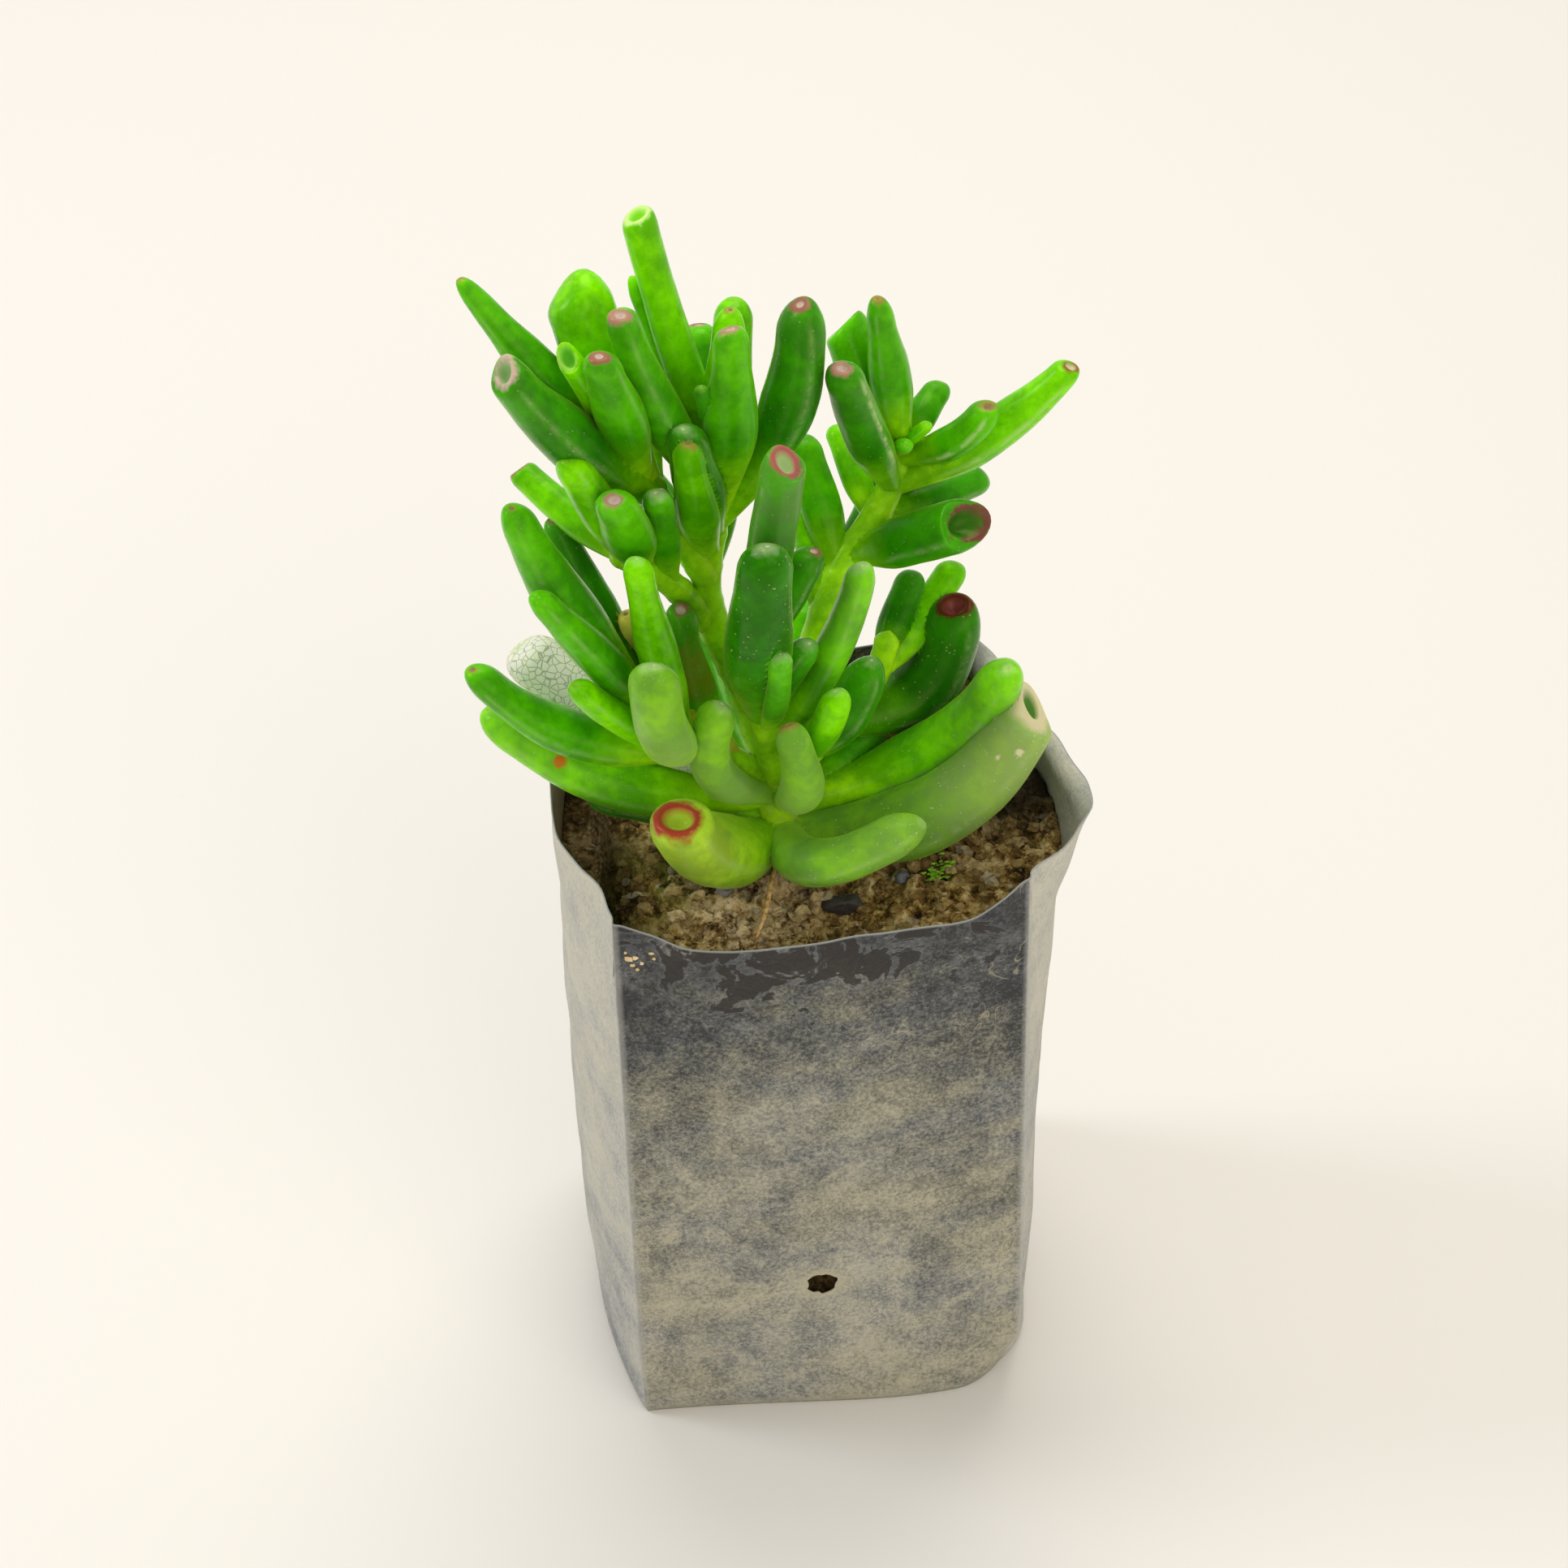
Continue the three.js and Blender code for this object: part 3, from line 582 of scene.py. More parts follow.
    # soil has stained the film's inside brown up to a little above the soil
    stainTop = addNode(tree, "MapRange", {0: cloudy, 1: 0.3, 2: 0.7, 3: 0.131, 4: 0.139})
    leftHigh = addNode(tree, "MapRange", {0: across, 1: -0.032, 2: -0.04, 3: 0.0, 4: 0.009})
    rightLow = addNode(tree, "MapRange", {0: across, 1: 0.03, 2: 0.04, 3: 0.0, 4: -0.004})
    for shift in (leftHigh, rightLow):
        stainTop = addNode(tree, "Math", {0: stainTop, 1: shift}, operation="ADD")
    below = addNode(tree, "Math", {0: stainTop, 1: up}, operation="SUBTRACT")
    stained = addNode(tree, "MapRange", {0: below, 1: -0.002, 2: 0.003, 3: 0.0, 4: 0.85})
    stained = addNode(tree, "Math", {0: stained, 1: inside}, operation="MULTIPLY")
    coats = (
        (dusted, "#b4a888"), (curled, "#c4bb9c"), (wiped, "#26221e"), (dried, "#84888c"), (torn, "#bcb498"),
        (creaseHighlight, "#b4b4ae"), (footBounceLight, "#b5b09c"), (rimLine, "#a4a6a4"), (stained, "#7d6c45"),
    )
    for share, coat in coats:
        colour = addNode(tree, "Mix", {0: share, 6: colour, 7: linear(coat)}, data_type="RGBA")
    rough = addNode(tree, "MapRange", {0: tone, 1: 0.1, 2: 0.8, 3: 0.42, 4: 0.78})
    rough = addNode(tree, "Mix", {0: wiped, 2: rough, 3: 0.3})
    # film crackle and grit as relief
    crackle = addNode(tree, "TexVoronoi", {"Vector": place, "Scale": 1000 / 6}, feature="DISTANCE_TO_EDGE")
    height = addNode(tree, "MapRange", {0: crackle, 1: 0.0, 2: 0.12, 3: 0.0, 4: 0.3})
    for relief in (grit, cloudy):
        height = addNode(tree, "Math", {0: height, 1: relief}, operation="ADD")
    bump = addNode(tree, "Bump", {"Strength": 0.6, "Distance": 0.3 * mm, "Height": height})
    setInputs(tree, surface, {"Base Color": colour, "Roughness": rough, "Normal": bump})
    return material


filmBag = buildBag(polytheneFilm())
print("film bag made:", len(filmBag.data.polygons), "faces")

# The soil: damp brown potting soil with crumbs, its top about 13 mm under the rim.
soil = {
    "height": 132.4,
    "swell": 52,
    "clod": 12,
    "lump": 1.3,
    "mound": 1.2,
    "moundRadius": 18,
    "crumbRelief": 3.0,
    "crumbSize": 5.0,
    # smaller crumbs lie between: their share of that size and of that relief
    "betweenSize": 0.47,
    "betweenRelief": 0.5,
    "gritRelief": 0.9,
    "gritSize": 1.5,
    # the smooth crust lies at the left and back: where it starts and is whole, how smooth it is
    "crustLeft": (16, 30),
    "crustBack": (-12, 4),
    "crustShare": 0.75,
    # and has shrunk away from the film: how deep, and where along the left side
    "dip": 9,
    "dipLeft": (36.5, 41.5),
    "dipStarts": (-33, -24),
    "dipEnds": (14, 26),
    "stepsPerSide": 84,
    "topRings": 58,
    "wallRings": 44,
    "hollow": 4.5,
    "hollowRadius": 4.2,
    "footLevel": 0.01,
    "floorHeight": 1.2,
    "gap": 0.12,
    "seed": 5,
}


def soilRelief(x, y):
    swell = 2 * math.pi / soil["swell"]
    clod = 2 * math.pi / soil["clod"]
    swells = math.sin(x * swell + 1) * math.cos(y * swell)
    clods = math.sin((x + y / 2) * clod) * math.sin((y - x / 3) * clod)
    mound = soil["mound"] * math.exp(-(x * x + y * y) / soil["moundRadius"] ** 2)
    return soil["lump"] * (swells + clods) + mound


def soilTop(x, y):
    spot = Vector((x, y, 0))
    crust = smoothstep(-x, *soil["crustLeft"]) * smoothstep(y, *soil["crustBack"])
    rough = 1 - soil["crustShare"] * crust
    dip = soil["dip"] * smoothstep(-x, *soil["dipLeft"]) * smoothstep(y, *soil["dipStarts"])
    dip *= 1 - smoothstep(y, *soil["dipEnds"])
    crumbs = abs(noise.noise(spot / soil["crumbSize"])) * soil["crumbRelief"]
    between = spot / soil["crumbSize"] / soil["betweenSize"] + Vector((5, 2, 0))
    crumbs += noise.noise(between) * soil["crumbRelief"] * soil["betweenRelief"]
    grit = noise.noise(spot / soil["gritSize"]) * soil["gritRelief"]
    return soil["height"] + soilRelief(x, y) + (crumbs + grit) * rough - dip


def soilRim(turn):
    # where the soil's top meets the film: its level up the wall
    level = soil["height"] / bag["height"]
    for _ in range(3):
        spot = filmPoint(turn, level) / mm
        level *= soilTop(spot.x, spot.y) / spot.z
    return level


def buildSoil(material):
    bm = bmesh.new()
    turnLayer = bm.verts.layers.float.new("turn")
    turns = easedTurns(soil["stepsPerSide"])
    inset = bag["film"] + soil["gap"]
    rims = {round(turn, 4): soilRim(turn) for turn in turns}
    ring = startRing(bm, turnLayer, turns)
    foot = ring
    for step in range(soil["wallRings"] + 1):
        if step:
            ring = nextRing(bm, ring)
        share = step / soil["wallRings"]
        for vert in ring:
            turn = vert[turnLayer]
            level = soil["footLevel"] + (rims[round(turn, 4)] - soil["footLevel"]) * share
            vert.co = filmPoint(turn, level, inset)
            # soil has trickled out behind the drain hole
            aside = Vector((vert.co.x / mm - bag["holeOffset"], vert.co.z / mm - bag["holeHeight"])).length
            if vert.co.y < 0 and aside < 3 * soil["hollowRadius"]:
                vert.co.y += soil["hollow"] * math.exp(-((aside / soil["hollowRadius"]) ** 2)) * mm
    edge = {round(vert[turnLayer], 4): vert.co.copy() for vert in ring}
    for step in range(1, soil["topRings"]):
        ring = nextRing(bm, ring)
        reach = 1 - step / soil["topRings"]
        for vert in ring:
            spot = edge[round(vert[turnLayer], 4)] * reach / mm
            vert.co = Vector((spot.x, spot.y, soilTop(spot.x, spot.y))) * mm
    closeRing(bm, ring, Vector((0, 0, soilTop(0, 0))) * mm)
    closeRing(bm, nextRing(bm, foot), (0, 0, soil["floorHeight"] * mm))
    faceOut(bm)
    smoothFaces(bm)
    return finishPiece(bm, "soilBed", material, ["soil"])


# Potting soil: brown, grey where the crust has dried, green with algae at the left.
def pottingSoil(name, tintName=None):
    material, tree, surface = newMaterial(name, Roughness=0.92, Specular_IOR_Level=0.25)
    place = addNode(tree, "TexCoord").outputs["Object"]
    split = addNode(tree, "SeparateXYZ", {0: place})
    broad = addNode(tree, "TexNoise", {"Vector": place, "Scale": 1000 / 15, "Detail": 5.0, "Roughness": 0.65})
    crumbs = addNode(tree, "TexNoise", {"Vector": place, "Scale": 1000 / 2.4, "Detail": 6.0, "Roughness": 0.72})
    specks = addNode(tree, "TexVoronoi", {"Vector": place, "Scale": 1000 / 1.3})
    drift = addNode(tree, "MapRange", {0: broad, 1: 0.35, 2: 0.65, 3: -0.12, 4: 0.12})
    shade = addNode(tree, "Math", {0: crumbs, 1: drift}, operation="ADD")
    colour = addNode(tree, "ValToRGB", {"Fac": shade})
    fillRamp(colour, [(0.32, "#1c1206"), (0.43, "#6a5020"), (0.53, "#b49450"), (0.65, "#f0dca4")])
    crust = addNode(tree, "MapRange", {0: broad, 1: 0.5, 2: 0.6, 3: 0.0, 4: 0.5})
    # algae: strongest in a patch by the left wall
    fromWall = addNode(tree, "VectorMath", {0: place, 1: (-0.030, -0.012, 0.134)}, operation="DISTANCE")
    near = addNode(tree, "MapRange", {0: fromWall, 1: 0.004, 2: 0.019, 3: 0.75, 4: 0.0})
    spotty = addNode(tree, "MapRange", {0: broad, 1: 0.42, 2: 0.56, 3: 0.0, 4: 1.0})
    green = addNode(tree, "Math", {0: near, 1: spotty}, operation="MULTIPLY")
    coats = [(crust, linear("#c8a868")), (green, linear("#6d7a22"))]
    if tintName:
        tint = addNode(tree, "Attribute", attribute_name=tintName).outputs["Fac"]
        shades = addNode(tree, "ValToRGB", {"Fac": tint})
        stops = [
            (0.0, "#20160a"), (0.3, "#6a5026"), (0.6, "#ac9054"),
            (0.86, "#e0c890"), (0.95, "#8c8c8a"), (1.0, "#f4e8ca"),
        ]
        fillRamp(shades, stops)
        coats.append((0.62, shades))
    # dry clods in the front middle
    fromClods = addNode(tree, "VectorMath", {0: place, 1: (-0.012, -0.024, 0.134)}, operation="DISTANCE")
    dry = addNode(tree, "MapRange", {0: fromClods, 1: 0.006, 2: 0.016, 3: 0.6, 4: 0.0})
    dryPart = addNode(tree, "MapRange", {0: crumbs, 1: 0.42, 2: 0.56, 3: 0.0, 4: 1.0})
    dry = addNode(tree, "Math", {0: dry, 1: dryPart}, operation="MULTIPLY")
    # painted shade, dark: down the wall where it shows through the drain hole, in the gap at the left, and a painted
    # shadow by the wall at the right
    low = addNode(tree, "MapRange", {0: split.outputs["Z"], 1: 0.128, 2: 0.118, 3: 0.0, 4: 0.8})
    leftGapShade = addNode(tree, "MapRange", {0: split.outputs["X"], 1: -0.031, 2: -0.038, 3: 0.0, 4: 0.65})
    fromCorner = addNode(tree, "VectorMath", {0: place, 1: (0.046, 0.014, 0.134)}, operation="DISTANCE")
    rightShadow = addNode(tree, "MapRange", {0: fromCorner, 1: 0.016, 2: 0.032, 3: 0.95, 4: 0.0})
    paintedShade = low
    for other in (leftGapShade, rightShadow):
        paintedShade = addNode(tree, "Math", {0: paintedShade, 1: other}, operation="MAXIMUM")
    for share, coat in coats + [(dry, linear("#f0d8ac")), (paintedShade, linear("#1c1408"))]:
        colour = addNode(tree, "Mix", {0: share, 6: colour, 7: coat}, data_type="RGBA")
    height = addNode(tree, "Math", {0: crumbs, 1: specks}, operation="ADD")
    bump = addNode(tree, "Bump", {"Strength": 1.0, "Distance": 0.9 * mm, "Height": height})
    setInputs(tree, surface, {"Base Color": colour, "Normal": bump})
    return material


soilBed = buildSoil(pottingSoil("pottingSoil"))
print("soil made:", len(soilBed.data.polygons), "faces")

# Loose crumbs and grit on the soil: few where the crust lies, and fine ones far more common.
crumbs = {
    "count": 3900,
    "smallest": 0.3,
    "largest": 3.4,
    "margin": 0.95,
    "rarity": 3.8,
    # depth and height as shares of the width
    "depths": (0.7, 1),
    "heights": (0.55, 0.85),
    "sunk": 0.12,
    "coarseFrom": 1.3,
    "crustLeft": (14, 28),
    "crustBack": (-14, 2),
    "crustBare": 0.85,
    "seed": 21,
}


def insideSoil(draw, margin):
    turn = draw.uniform(0, 4)
    edge = filmPoint(turn, soil["height"] / bag["height"]) / mm
    reach = math.sqrt(draw.random()) * margin
    return edge.x * reach, edge.y * reach


# Pebbles are chipped balls: how deep and how close together the broad and the small chips are.
pebble = {"broadChip": 0.7, "broadScale": 2.2, "smallChip": 0.4, "smallScale": 5}


def pebbleTemplates():
    templates = {}
    for fineness in (1, 2):
        bm = bmesh.new()
        bmesh.ops.create_icosphere(bm, subdivisions=fineness, radius=0.5)
        templates[fineness] = bpy.data.meshes.new("pebble")
        bm.to_mesh(templates[fineness])
        bm.free()
    return templates


def addPebbles(bm, layer, wanted, draw):
    # each pebble is one ball from a template, chipped by its own stretch of noise
    templates = pebbleTemplates()
    for place, size, tint, fineness in wanted:
        bm.from_mesh(templates[fineness])
    bm.verts.ensure_lookup_table()
    first = 0
    for place, size, tint, fineness in wanted:
        turn = Euler([draw.uniform(0, 2 * math.pi) for _ in range(3)]).to_matrix()
        shift = Vector([draw.uniform(0, 90) for _ in range(3)])
        count = len(templates[fineness].vertices)
        for vert in bm.verts[first:first + count]:
            ball = turn @ vert.co
            chip = 1 + pebble["broadChip"] * noise.noise(ball * pebble["broadScale"] + shift)
            chip += pebble["smallChip"] * noise.noise(ball * pebble["smallScale"] + shift)
            vert.co = place + Vector((ball.x * size.x, ball.y * size.y, ball.z * size.z)) * chip
            vert[layer] = tint
        first += count
    for template in templates.values():
        bpy.data.meshes.remove(template)


def buildCrumbs(material):
    draw = random.Random(crumbs["seed"])
    bm = bmesh.new()
    tint = bm.verts.layers.float.new("tint")
    wanted = []
    for count in range(crumbs["count"]):
        x, y = insideSoil(draw, crumbs["margin"])
        crust = smoothstep(-x, *crumbs["crustLeft"]) * smoothstep(y, *crumbs["crustBack"])
        if draw.random() < crust * crumbs["crustBare"]:
            continue
        span = crumbs["largest"] - crumbs["smallest"]
        width = crumbs["smallest"] + span * draw.random() ** crumbs["rarity"]
        depth, height = (width * draw.uniform(*crumbs[shares]) for shares in ("depths", "heights"))
        size = Vector((width, depth, height))
        place = Vector((x, y, soilTop(x, y) + size.z * crumbs["sunk"]))
        wanted.append((place * mm, size * mm, draw.random(), 2 if width > crumbs["coarseFrom"] else 1))
    addPebbles(bm, tint, wanted, draw)
    return finishPiece(bm, "soilCrumbs", material)


soilCrumbs = buildCrumbs(pottingSoil("soilCrumb", "tint"))
print("crumbs made:", len(soilCrumbs.data.polygons), "faces")

# Stones on the soil: each stands where its solid does, with its broken faces.
stones = [
    {"node": "stone_dark", "slot": "dark_stone", "colour": ("#26211e", "#4b4540"), "turn": 10, "flats": 9, "seed": 3},
    {
        "node": "stone_grey_right", "slot": "grey_stone", "colour": ("#5d5f66", "#8b8e94"), "turn": 30,
        "flats": 6, "seed": 4,
    },
    {
        "node": "stone_grey_left", "slot": "grey_stone", "colour": ("#6d6a62", "#99958a"), "turn": 70,
        "flats": 6, "seed": 8,
    },
]


# How a stone is broken: split planes lie this far out from its middle, edges sharper than the
# angle stay crisp.
stoneCuts = {"fineness": 4, "depth": (0.62, 0.85), "wobble": 0.06, "wobbleScale": 3, "sharpAngle": 18}


# Broken stone: matt mineral grain between two close greys, a little rough to the eye.
def brokenStone(name, dark, light):
    material, tree, surface = newMaterial(name, Roughness=0.62, Specular_IOR_Level=0.5)
    place = addNode(tree, "TexCoord").outputs["Object"]
    grain = addNode(tree, "TexNoise", {"Vector": place, "Scale": 1000 / 1.2, "Detail": 5.0, "Roughness": 0.7})
    share = addNode(tree, "MapRange", {0: grain, 1: 0.35, 2: 0.7, 3: 0.0, 4: 1.0})
    colour = addNode(tree, "Mix", {0: share, 6: linear(dark), 7: linear(light)}, data_type="RGBA")
    bump = addNode(tree, "Bump", {"Strength": 0.6, "Distance": 0.2 * mm, "Height": grain})
    setInputs(tree, surface, {"Base Color": colour, "Normal": bump})
    return material


def buildStone(stone):
    draw = random.Random(stone["seed"])
    low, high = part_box(stone["node"])
    bm = bmesh.new()
    bmesh.ops.create_icosphere(bm, subdivisions=stoneCuts["fineness"], radius=1)
    for _ in range(stone["flats"]):
        # split faces: each cut plane lies a little inside the ball
        normal = Vector([draw.gauss(0, 1) for _ in range(3)]).normalized()
        depth = draw.uniform(*stoneCuts["depth"])
        for vert in bm.verts:
            over = vert.co.dot(normal) - depth
            if over > 0:
                vert.co -= normal * over
    for vert in bm.verts:
        vert.co *= 1 + stoneCuts["wobble"] * noise.noise(vert.co * stoneCuts["wobbleScale"])
    reach = [max(abs(vert.co[axis]) for vert in bm.verts) for axis in range(3)]
    half = (high - low) / 2
    for vert in bm.verts:
        vert.co = (low + high) / 2 + Vector([vert.co[axis] / reach[axis] * half[axis] for axis in range(3)])
    smoothFaces(bm)
    for edge in bm.edges:
        edge.smooth = edge.calc_face_angle(0) < math.radians(stoneCuts["sharpAngle"])
    name = pieceName("broken", stone["node"])
    finishPiece(bm, name, brokenStone(name, *stone["colour"]), [stone["node"]])


for stone in stones:
    buildStone(stone)
print("stones made")

# The plant. Places, turns and sizes are those of the solids; skin and tip name each leaf's look.
plant = {
    "leafSides": 24,
    "stemSides": 20,
    "bodyRings": 24,
    "capRings": 8,
    "dishRings": 7,
    "thickness": 0.88,
    "rootShare": 0.56,
    "fullAt": 0.45,
    "neckAt": 0.5,
    "neckShare": 0.9,
    "longestCap": 0.32,
    "roundness": 1.0,
    "mouthSlant": 0.35,
    "dishDepth": 0.75,
    "dishFlatFrom": 0.9,
    "dishCurve": 0.9,
    # the skin's last colour is reached a little before the tip
    "colourRun": 1.1,
    "bloomRun": (0.35, 0.95),
    # the two margins: height of their ridge, strength of their painted highlight line, how narrow, where along
    "marginRidge": 0.1,
    "margin": 0.4,
    "marginNarrow": 60,
    "marginStarts": (0.1, 0.4),
    "marginEnds": (0.9, 1),
    "swellSize": 13,
    "swell": 0.4,
    "dimpleSize": 3.4,
    "dimple": 0.08,
    # a finger thinner than this swells less
    "fullSwellRadius": 3,
    "stemStep": 0.8,
    # leaf scars ring the stem, and it tapers off at its end
    "scarPitch": 7.5,
    "scarWidth": 0.9,
    "scarHeight": 0.07,
    "taperFrom": 0.93,
    "endArea": 0.05,
    "stemBump": 0.05,
    "stemBumpSize": 2.5,
    # a stem has no rim, so its skin counts as this far from one
    "farFromRim": 30,
    "seamAngle": 42,
    "healPasses": 4,
}

# Skins: colours at the root, in the middle and toward the tip. Wax bloom at the root and at the
# tip, pale specks, rust-coloured ageing and grey cork each run from 0 to 1.
# The pale yellow root colours and the bright yellow-green stem colours are partly the plant's own colour and partly
# painted light, the glow of light coming through leaf bases and stems.
skins = {
    "green": dict(colours=("#c4fc10", "#50b800", "#68d000"), bloom=(0, 0.04), speck=0.15),
    "deep": dict(colours=("#a8f000", "#309400", "#44a800"), bloom=(0, 0.06), speck=0.35),
    "lime": dict(colours=("#ccff20", "#7ee000", "#90f000"), bloom=(0, 0), speck=0.08),
    "bloomy": dict(colours=("#70cc00", "#309800", "#44a404"), bloom=(0, 0.32), speck=0.5),
    "frosted": dict(colours=("#a4d438", "#8ccc30", "#8cd018"), bloom=(0.8, 0.25), speck=0.25),
    "low": dict(colours=("#acdc38", "#80c820", "#94d030"), bloom=(0.4, 0.4), speck=0.8),
    "shaded": dict(colours=("#78c800", "#247800", "#308c00"), bloom=(0, 0.1), speck=0.6),
    "dark": dict(colours=("#74d000", "#288800", "#309000"), bloom=(0, 0), speck=0.7),
    "dusted": dict(colours=("#98d020", "#78b820", "#a4c458"), bloom=(0.25, 1.0), speck=1.0),
    "arched": dict(colours=("#c8fc10", "#84e800", "#90ec08"), bloom=(0, 0.2), speck=0.5),
    "pale": dict(colours=("#b0f408", "#74d400", "#84dc08"), bloom=(0, 0.25), speck=0.2),
    "blotched": dict(colours=("#74c008", "#a0d818", "#c8ec38"), bloom=(0, 0.25), speck=0.25, rust=0.1),
    "rusty": dict(colours=("#b0e810", "#50ac00", "#4ca404"), bloom=(0, 0.1), speck=0.5, rust=0.22),
    "yellowing": dict(colours=("#d8dc50", "#dcd040", "#ead860"), bloom=(0, 0.1), speck=0.1, rust=0.85, cork=0.12),
    "corky": dict(colours=("#b4c090", "#ccd0bc", "#dcdcd0"), bloom=(0.1, 0.1), speck=0.1, cork=1.0),
    "stem": dict(colours=("#bcf818", "#bcfc14", "#c0fc14"), bloom=(0.05, 0.05), speck=0.15),
    "bark": dict(colours=("#98b038", "#b8dc28", "#c0f414"), bloom=(0.2, 0.05), speck=0.3, cork=0.25),
}

# Tips: the colours of the rim and of the dish inside it, how far in millimetres the rim's colour
# runs down the finger, how strong it is, and how much of the solid's mouth the dish fills.
tips = {
    "round": dict(rim="#a0c848", dish="#a8cc4c", reach=1.6, strength=0.3, mouth=0.25),
    "pale": dict(rim="#ccd8ac", dish="#d4dcbc", reach=3.2, strength=0.5, mouth=0.3),
    "brown": dict(rim="#a87848", dish="#b08c70", reach=1.6, strength=0.7, mouth=0.5),
    "dot": dict(rim="#9c6058", dish="#e0ccc4", reach=1.3, strength=1.1, mouth=0.7),
    "pink": dict(rim="#b07c74", dish="#dcc8c0", reach=1.8, strength=1.2, mouth=0.72),
    "cup": dict(rim="#d4b0ac", dish="#84b868", reach=2.0, strength=1.2, mouth=0.78),
    "ring": dict(rim="#b45464", dish="#a8cc84", reach=1.8, strength=1.2, mouth=0.66),
    "blot": dict(rim="#a82030", dish="#b4d83c", reach=3.3, strength=1.7, mouth=0.76),
    "crown": dict(rim="#6a141c", dish="#944048", reach=2.6, strength=2.2, mouth=0.85),
    "edge": dict(rim="#b8586c", dish="#a4dc30", reach=0.9, strength=0.85, mouth=0.9),
    "deepCup": dict(rim="#7c2c40", dish="#247404", reach=0.8, strength=0.9, mouth=0.74),
    "smallCup": dict(rim="#8c4028", dish="#dcd4b4", reach=1.4, strength=0.9, mouth=0.75),
    "greenCup": dict(rim="#b8e070", dish="#58b81c", reach=1.0, strength=0.6, mouth=0.85),
    "cork": dict(rim="#dcd0a8", dish="#2c7c08", reach=4.6, strength=1.3, mouth=0.6),
    "open": dict(rim="#c8ec90", dish="#8cdc0c", reach=1.2, strength=1.0, mouth=0.74),
    "none": dict(rim="#6cb020", dish="#6cb020", reach=1, strength=0, mouth=1),
}

